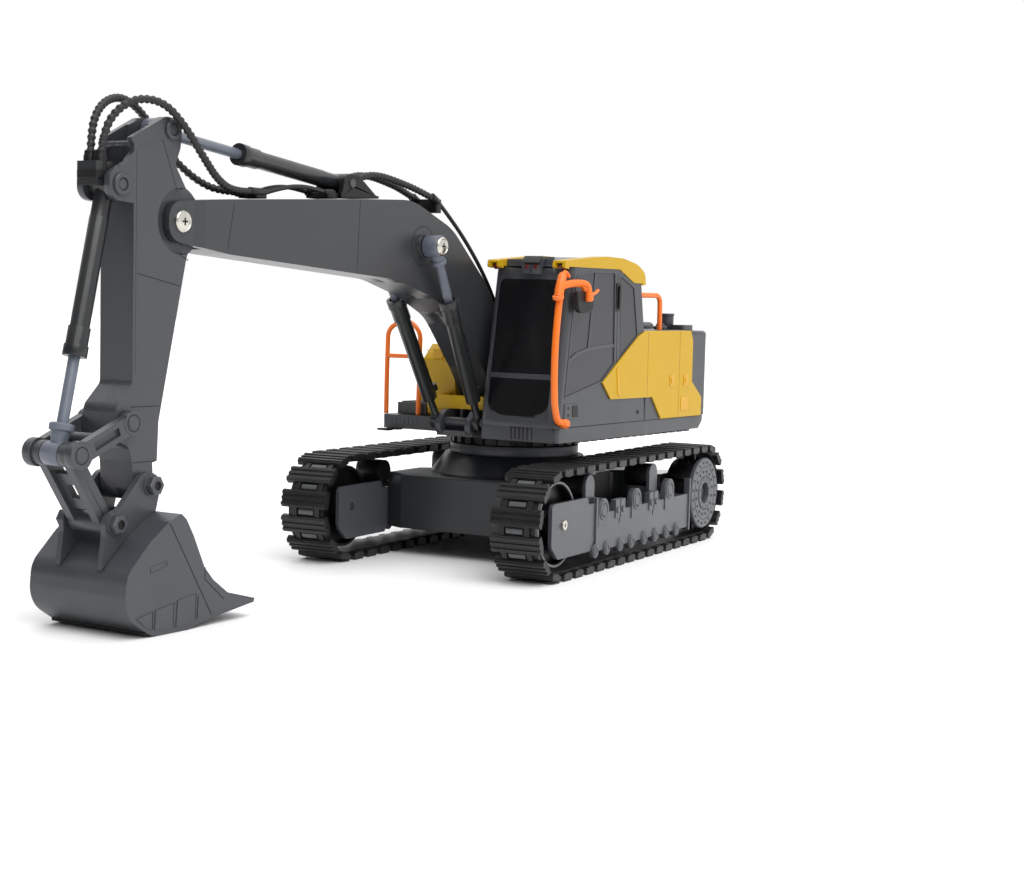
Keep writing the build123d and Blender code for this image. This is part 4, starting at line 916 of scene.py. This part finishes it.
def bucket_details():
    """Hexagon bolts, wear plates, seams and dark lower edge of the bucket."""
    face = BUCKET_HALF
    seam = Shape()
    seam.strip([(325.0, 48.1), (314.7, 31.7), (305.9, 17.6), (297.8, 4.6)], "side", face - 0.2,
               face + 0.06, 0.5)
    seam.strip([(302.2, 26.5), (302.5, 21.3), (289.7, 10.7)], "side", face - 0.2, face + 0.06, 0.45)
    for line in ([(335.3, 10.9), (335.4, 3.2)], [(322.1, 13.2), (322.7, 2.0)],
                 [(308.0, 15.3), (308.6, 3.0)]):
        seam.strip(line, "side", face - 0.2, face + 0.06, 0.45)
    seam.mirrored()
    seam.piece("bucket_seams", "bucket", "seam_dark", "bucket_grey")
    lip = Shape()
    lip.box((337.0, 339.4), (-28.4, 28.4), (1.0, 2.6))
    lip.piece("bucket_edge", "bucket", "seam_dark", "bucket_grey", bevel=0.2)
    plates = Shape()
    for corners in ([(345.4, 9.0), (335.9, 10.9), (336.0, 3.2), (340.0, 4.8)],
                    [(333.8, 11.3), (322.7, 13.0), (323.2, 2.0), (334.3, 2.8)],
                    [(320.1, 13.9), (308.6, 15.5), (309.1, 3.0), (321.0, 2.1)],
                    [(306.6, 14.2), (300.9, 5.2), (307.4, 4.0)]):
        plates.prism(corners, "side", face - 0.2, face + 0.4)
    plates.strip([(337.1, 30.2), (326.8, 31.9), (326.4, 29.9), (336.4, 27.6)], "side", face - 0.2,
                 face + 0.3,
                 0.5, closed=True)
    plates.mirrored()
    plates.piece("wear_plates", "bucket", "bucket_grey", bevel=0.15)
    bolts, socket_shade = Shape(), Shape()
    for centre in (BUCKET_PIVOT, Vector((343.3, 0, 48.4))):
        spot = (centre.x, 14.0, centre.z)
        bolts.lathe(spot, (0, 1, 0), [(-0.2, 5.0), (0.5, 5.0), (0.6, 4.7), (0.6, 0)], 40)
        bolts.lathe(spot, (0, 1, 0),
                    [(0.4, 4.5), (3.2, 4.5), (3.8, 3.9), (3.8, 2.1), (3.1, 2.0), (3.1, 0)], 6)
        # painted shade: a dark cup lines the recess in each bolt head
        socket_shade.lathe(spot, (0, 1, 0), [(3.0, 2.1), (3.86, 2.1), (3.86, 1.7), (3.2, 1.6), (3.2, 0)], 28)
    for shape in (bolts, socket_shade):
        shape.mirrored()
    bolts.piece("bucket_hex_bolts", "bucket", "bucket_grey", bevel=0.12, smooth=20,
                replaces=("bucket_bolts",))
    socket_shade.piece("bucket_bolt_socket_shade", "bucket", "seam_dark", "bucket_grey")


# Hoses
HOSE_R, THIN_R = 1.9, 1.1
JUMPER_LEFT = [(342.5, 3, 203.6), (342.2, 3.8, 213), (338.5, 6, 224), (328, 9.5, 231.5), (314, 12.6, 231),
               (302, 14, 221.5), (289.5, 13.5, 209), (275, 9.5, 199.5), (259, 5.5, 195.4), (244.2, 4, 196.4)]
JUMPER_RIGHT = [(342.5, -3, 203.6), (341.8, -3.4, 213), (338.5, -4.6, 223.5), (329.5, -7, 231),
                (316, -10.4, 233.8), (302, -13.4, 229.5), (290, -14.4, 219.5), (279, -13.6, 208.5),
                (267.5, -9, 199.5), (256.5, -5.2, 196), (244.2, -4, 196.4)]
THIN_FRONT = [(235.8, 4, 196.4), (225, 4.4, 199.4), (212, 5.4, 201.2), (201, 5.6, 200.8),
              (191.2, 5.4, 199.4)]
BACK_FAT = [(167.6, 4, 206.4), (157, 4, 210.4), (143, 4, 211), (128, 4.2, 208.8), (113, 5, 206),
            (99.4, 6.2, 202)]
BACK_THIN = [(91.8, 6.4, 198.6), (78.5, 6.5, 189.6), (61, 6.5, 175.4), (44.5, 6.5, 159), (31, 6.5, 141),
             (24, 6.5, 127.6)]


def evenly(line, step):
    """The same line with points a fixed step apart."""
    points, carried = [line[0]], 0.0
    for start, end in zip(line, line[1:]):
        run = (end - start).length
        while carried + run >= step:
            start = start + (end - start) * ((step - carried) / run)
            points.append(start)
            run, carried = (end - start).length, 0.0
            if run < 1e-9:
                break
        carried += run
    return points


def corrugated(shape, route, radius):
    """Hose of bulged rings, one every 2.9 mm."""
    ring, stations = 2.9, 6
    points = evenly(nurbs(route), ring / stations)
    bulge = (0.74, 0.80, 0.95, 1.0, 0.95, 0.80)
    shape.sweep(points, [radius * bulge[i % stations] for i in range(len(points))])
    return points


def other_side(points):
    return [(x, -y, z) for x, y, z in points]


def hoses():
    """Corrugated and thin hoses along the boom, and the loops over the arm's pivot."""
    fat = Shape()
    for route in (BACK_FAT, other_side(BACK_FAT)):
        corrugated(fat, route, HOSE_R)
    fat.piece("boom_hoses_corrugated", "boom", "hose_rubber", smooth=60, replaces=("boom_hoses",))
    thin = Shape()
    for route in (THIN_FRONT, BACK_THIN):
        for side in (route, other_side(route)):
            points = nurbs(side)
            thin.sweep(points, [THIN_R] * len(points), 14)
    thin.piece("boom_hoses_thin", "boom", "hose_rubber", smooth=60)
    for name, route in (("left", JUMPER_LEFT), ("right", JUMPER_RIGHT)):
        loop = Shape()
        corrugated(loop, route, HOSE_R)
        made = loop.piece(f"jumper_hose_{name}", "arm", "hose_rubber", smooth=60,
                          replaces=("jumper_hoses",))
        made.parent = None
        made.matrix_world = Matrix.Identity(4)
        del made["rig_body"]
        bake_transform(made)


# Room
def room():
    """Pale floor and soft studio light."""
    data = bpy.data.meshes.new("floor")
    size = 6.0
    data.from_pydata([(-size, -size, 0), (size, -size, 0), (size, size, 0), (-size, size, 0)], [],
                     [(0, 1, 2, 3)])
    floor = bpy.data.objects.new("floor", data)
    floor.location.z = -0.0002
    bpy.context.collection.objects.link(floor)
    pale = bpy.data.materials.new("floor")
    pale.use_nodes = True
    pale.node_tree.nodes["Principled BSDF"].inputs["Base Color"].default_value = (0.93, 0.93, 0.93, 1)
    pale.node_tree.nodes["Principled BSDF"].inputs["Roughness"].default_value = 0.6
    pale.node_tree.nodes["Principled BSDF"].inputs["Specular IOR Level"].default_value = 0.2
    data.materials.append(pale)
    world = bpy.data.worlds.new("world")
    world.use_nodes = True
    nodes, links = world.node_tree.nodes, world.node_tree.links
    place = nodes.new("ShaderNodeTexCoord")
    side = nodes.new("ShaderNodeVectorMath")
    side.operation = "DOT_PRODUCT"
    side.inputs[1].default_value = (-0.68, 0.36, 0.64)
    links.new(place.outputs["Generated"], side.inputs[0])
    shade = nodes.new("ShaderNodeMapRange")
    shade.interpolation_type = "SMOOTHSTEP"
    shade.inputs["From Min"].default_value, shade.inputs["From Max"].default_value = -0.45, 0.28
    shade.inputs["To Min"].default_value, shade.inputs["To Max"].default_value = 0.10, 0.99
    links.new(side.outputs["Value"], shade.inputs["Value"])
    seen = nodes.new("ShaderNodeLightPath")
    white = nodes.new("ShaderNodeMath")
    white.operation = "MAXIMUM"
    links.new(shade.outputs["Result"], white.inputs[0])
    links.new(seen.outputs["Is Camera Ray"], white.inputs[1])
    links.new(white.outputs["Value"], nodes["Background"].inputs["Strength"])
    nodes["Background"].inputs["Color"].default_value = (1, 1, 1, 1)
    bpy.context.scene.world = world
    for name, spot, spread, power in (("sun", (0.30, 0.55, 1.0), 55, 1.9),
                                      ("fill", (-0.5, -0.4, 1.0), 70, 0.5)):
        lamp = bpy.data.lights.new(name, "SUN")
        lamp.angle, lamp.energy = radians(spread), power
        carrier = bpy.data.objects.new(name, lamp)
        carrier.rotation_euler = Vector(spot).to_track_quat("Z", "Y").to_euler()
        bpy.context.collection.objects.link(carrier)
    bpy.context.scene.view_settings.view_transform = "Standard"


add_camera()
hoses()
finish_nodes()
for label, sign in (("left", 1), ("right", -1)):
    track(label, sign)
    sprocket_disc(label, sign)
    idler_rim(label, sign)
    side_plate_details(label, sign)
slew_teeth()
cab_door()
cab_front_details()
roof_details()
flank_details()
deck_details()
hood_details()
weight_details()
platform_details()
mirror()
boom_details()
arm_details()
linkage_details()
screws()
fittings()
bucket_details()
room()
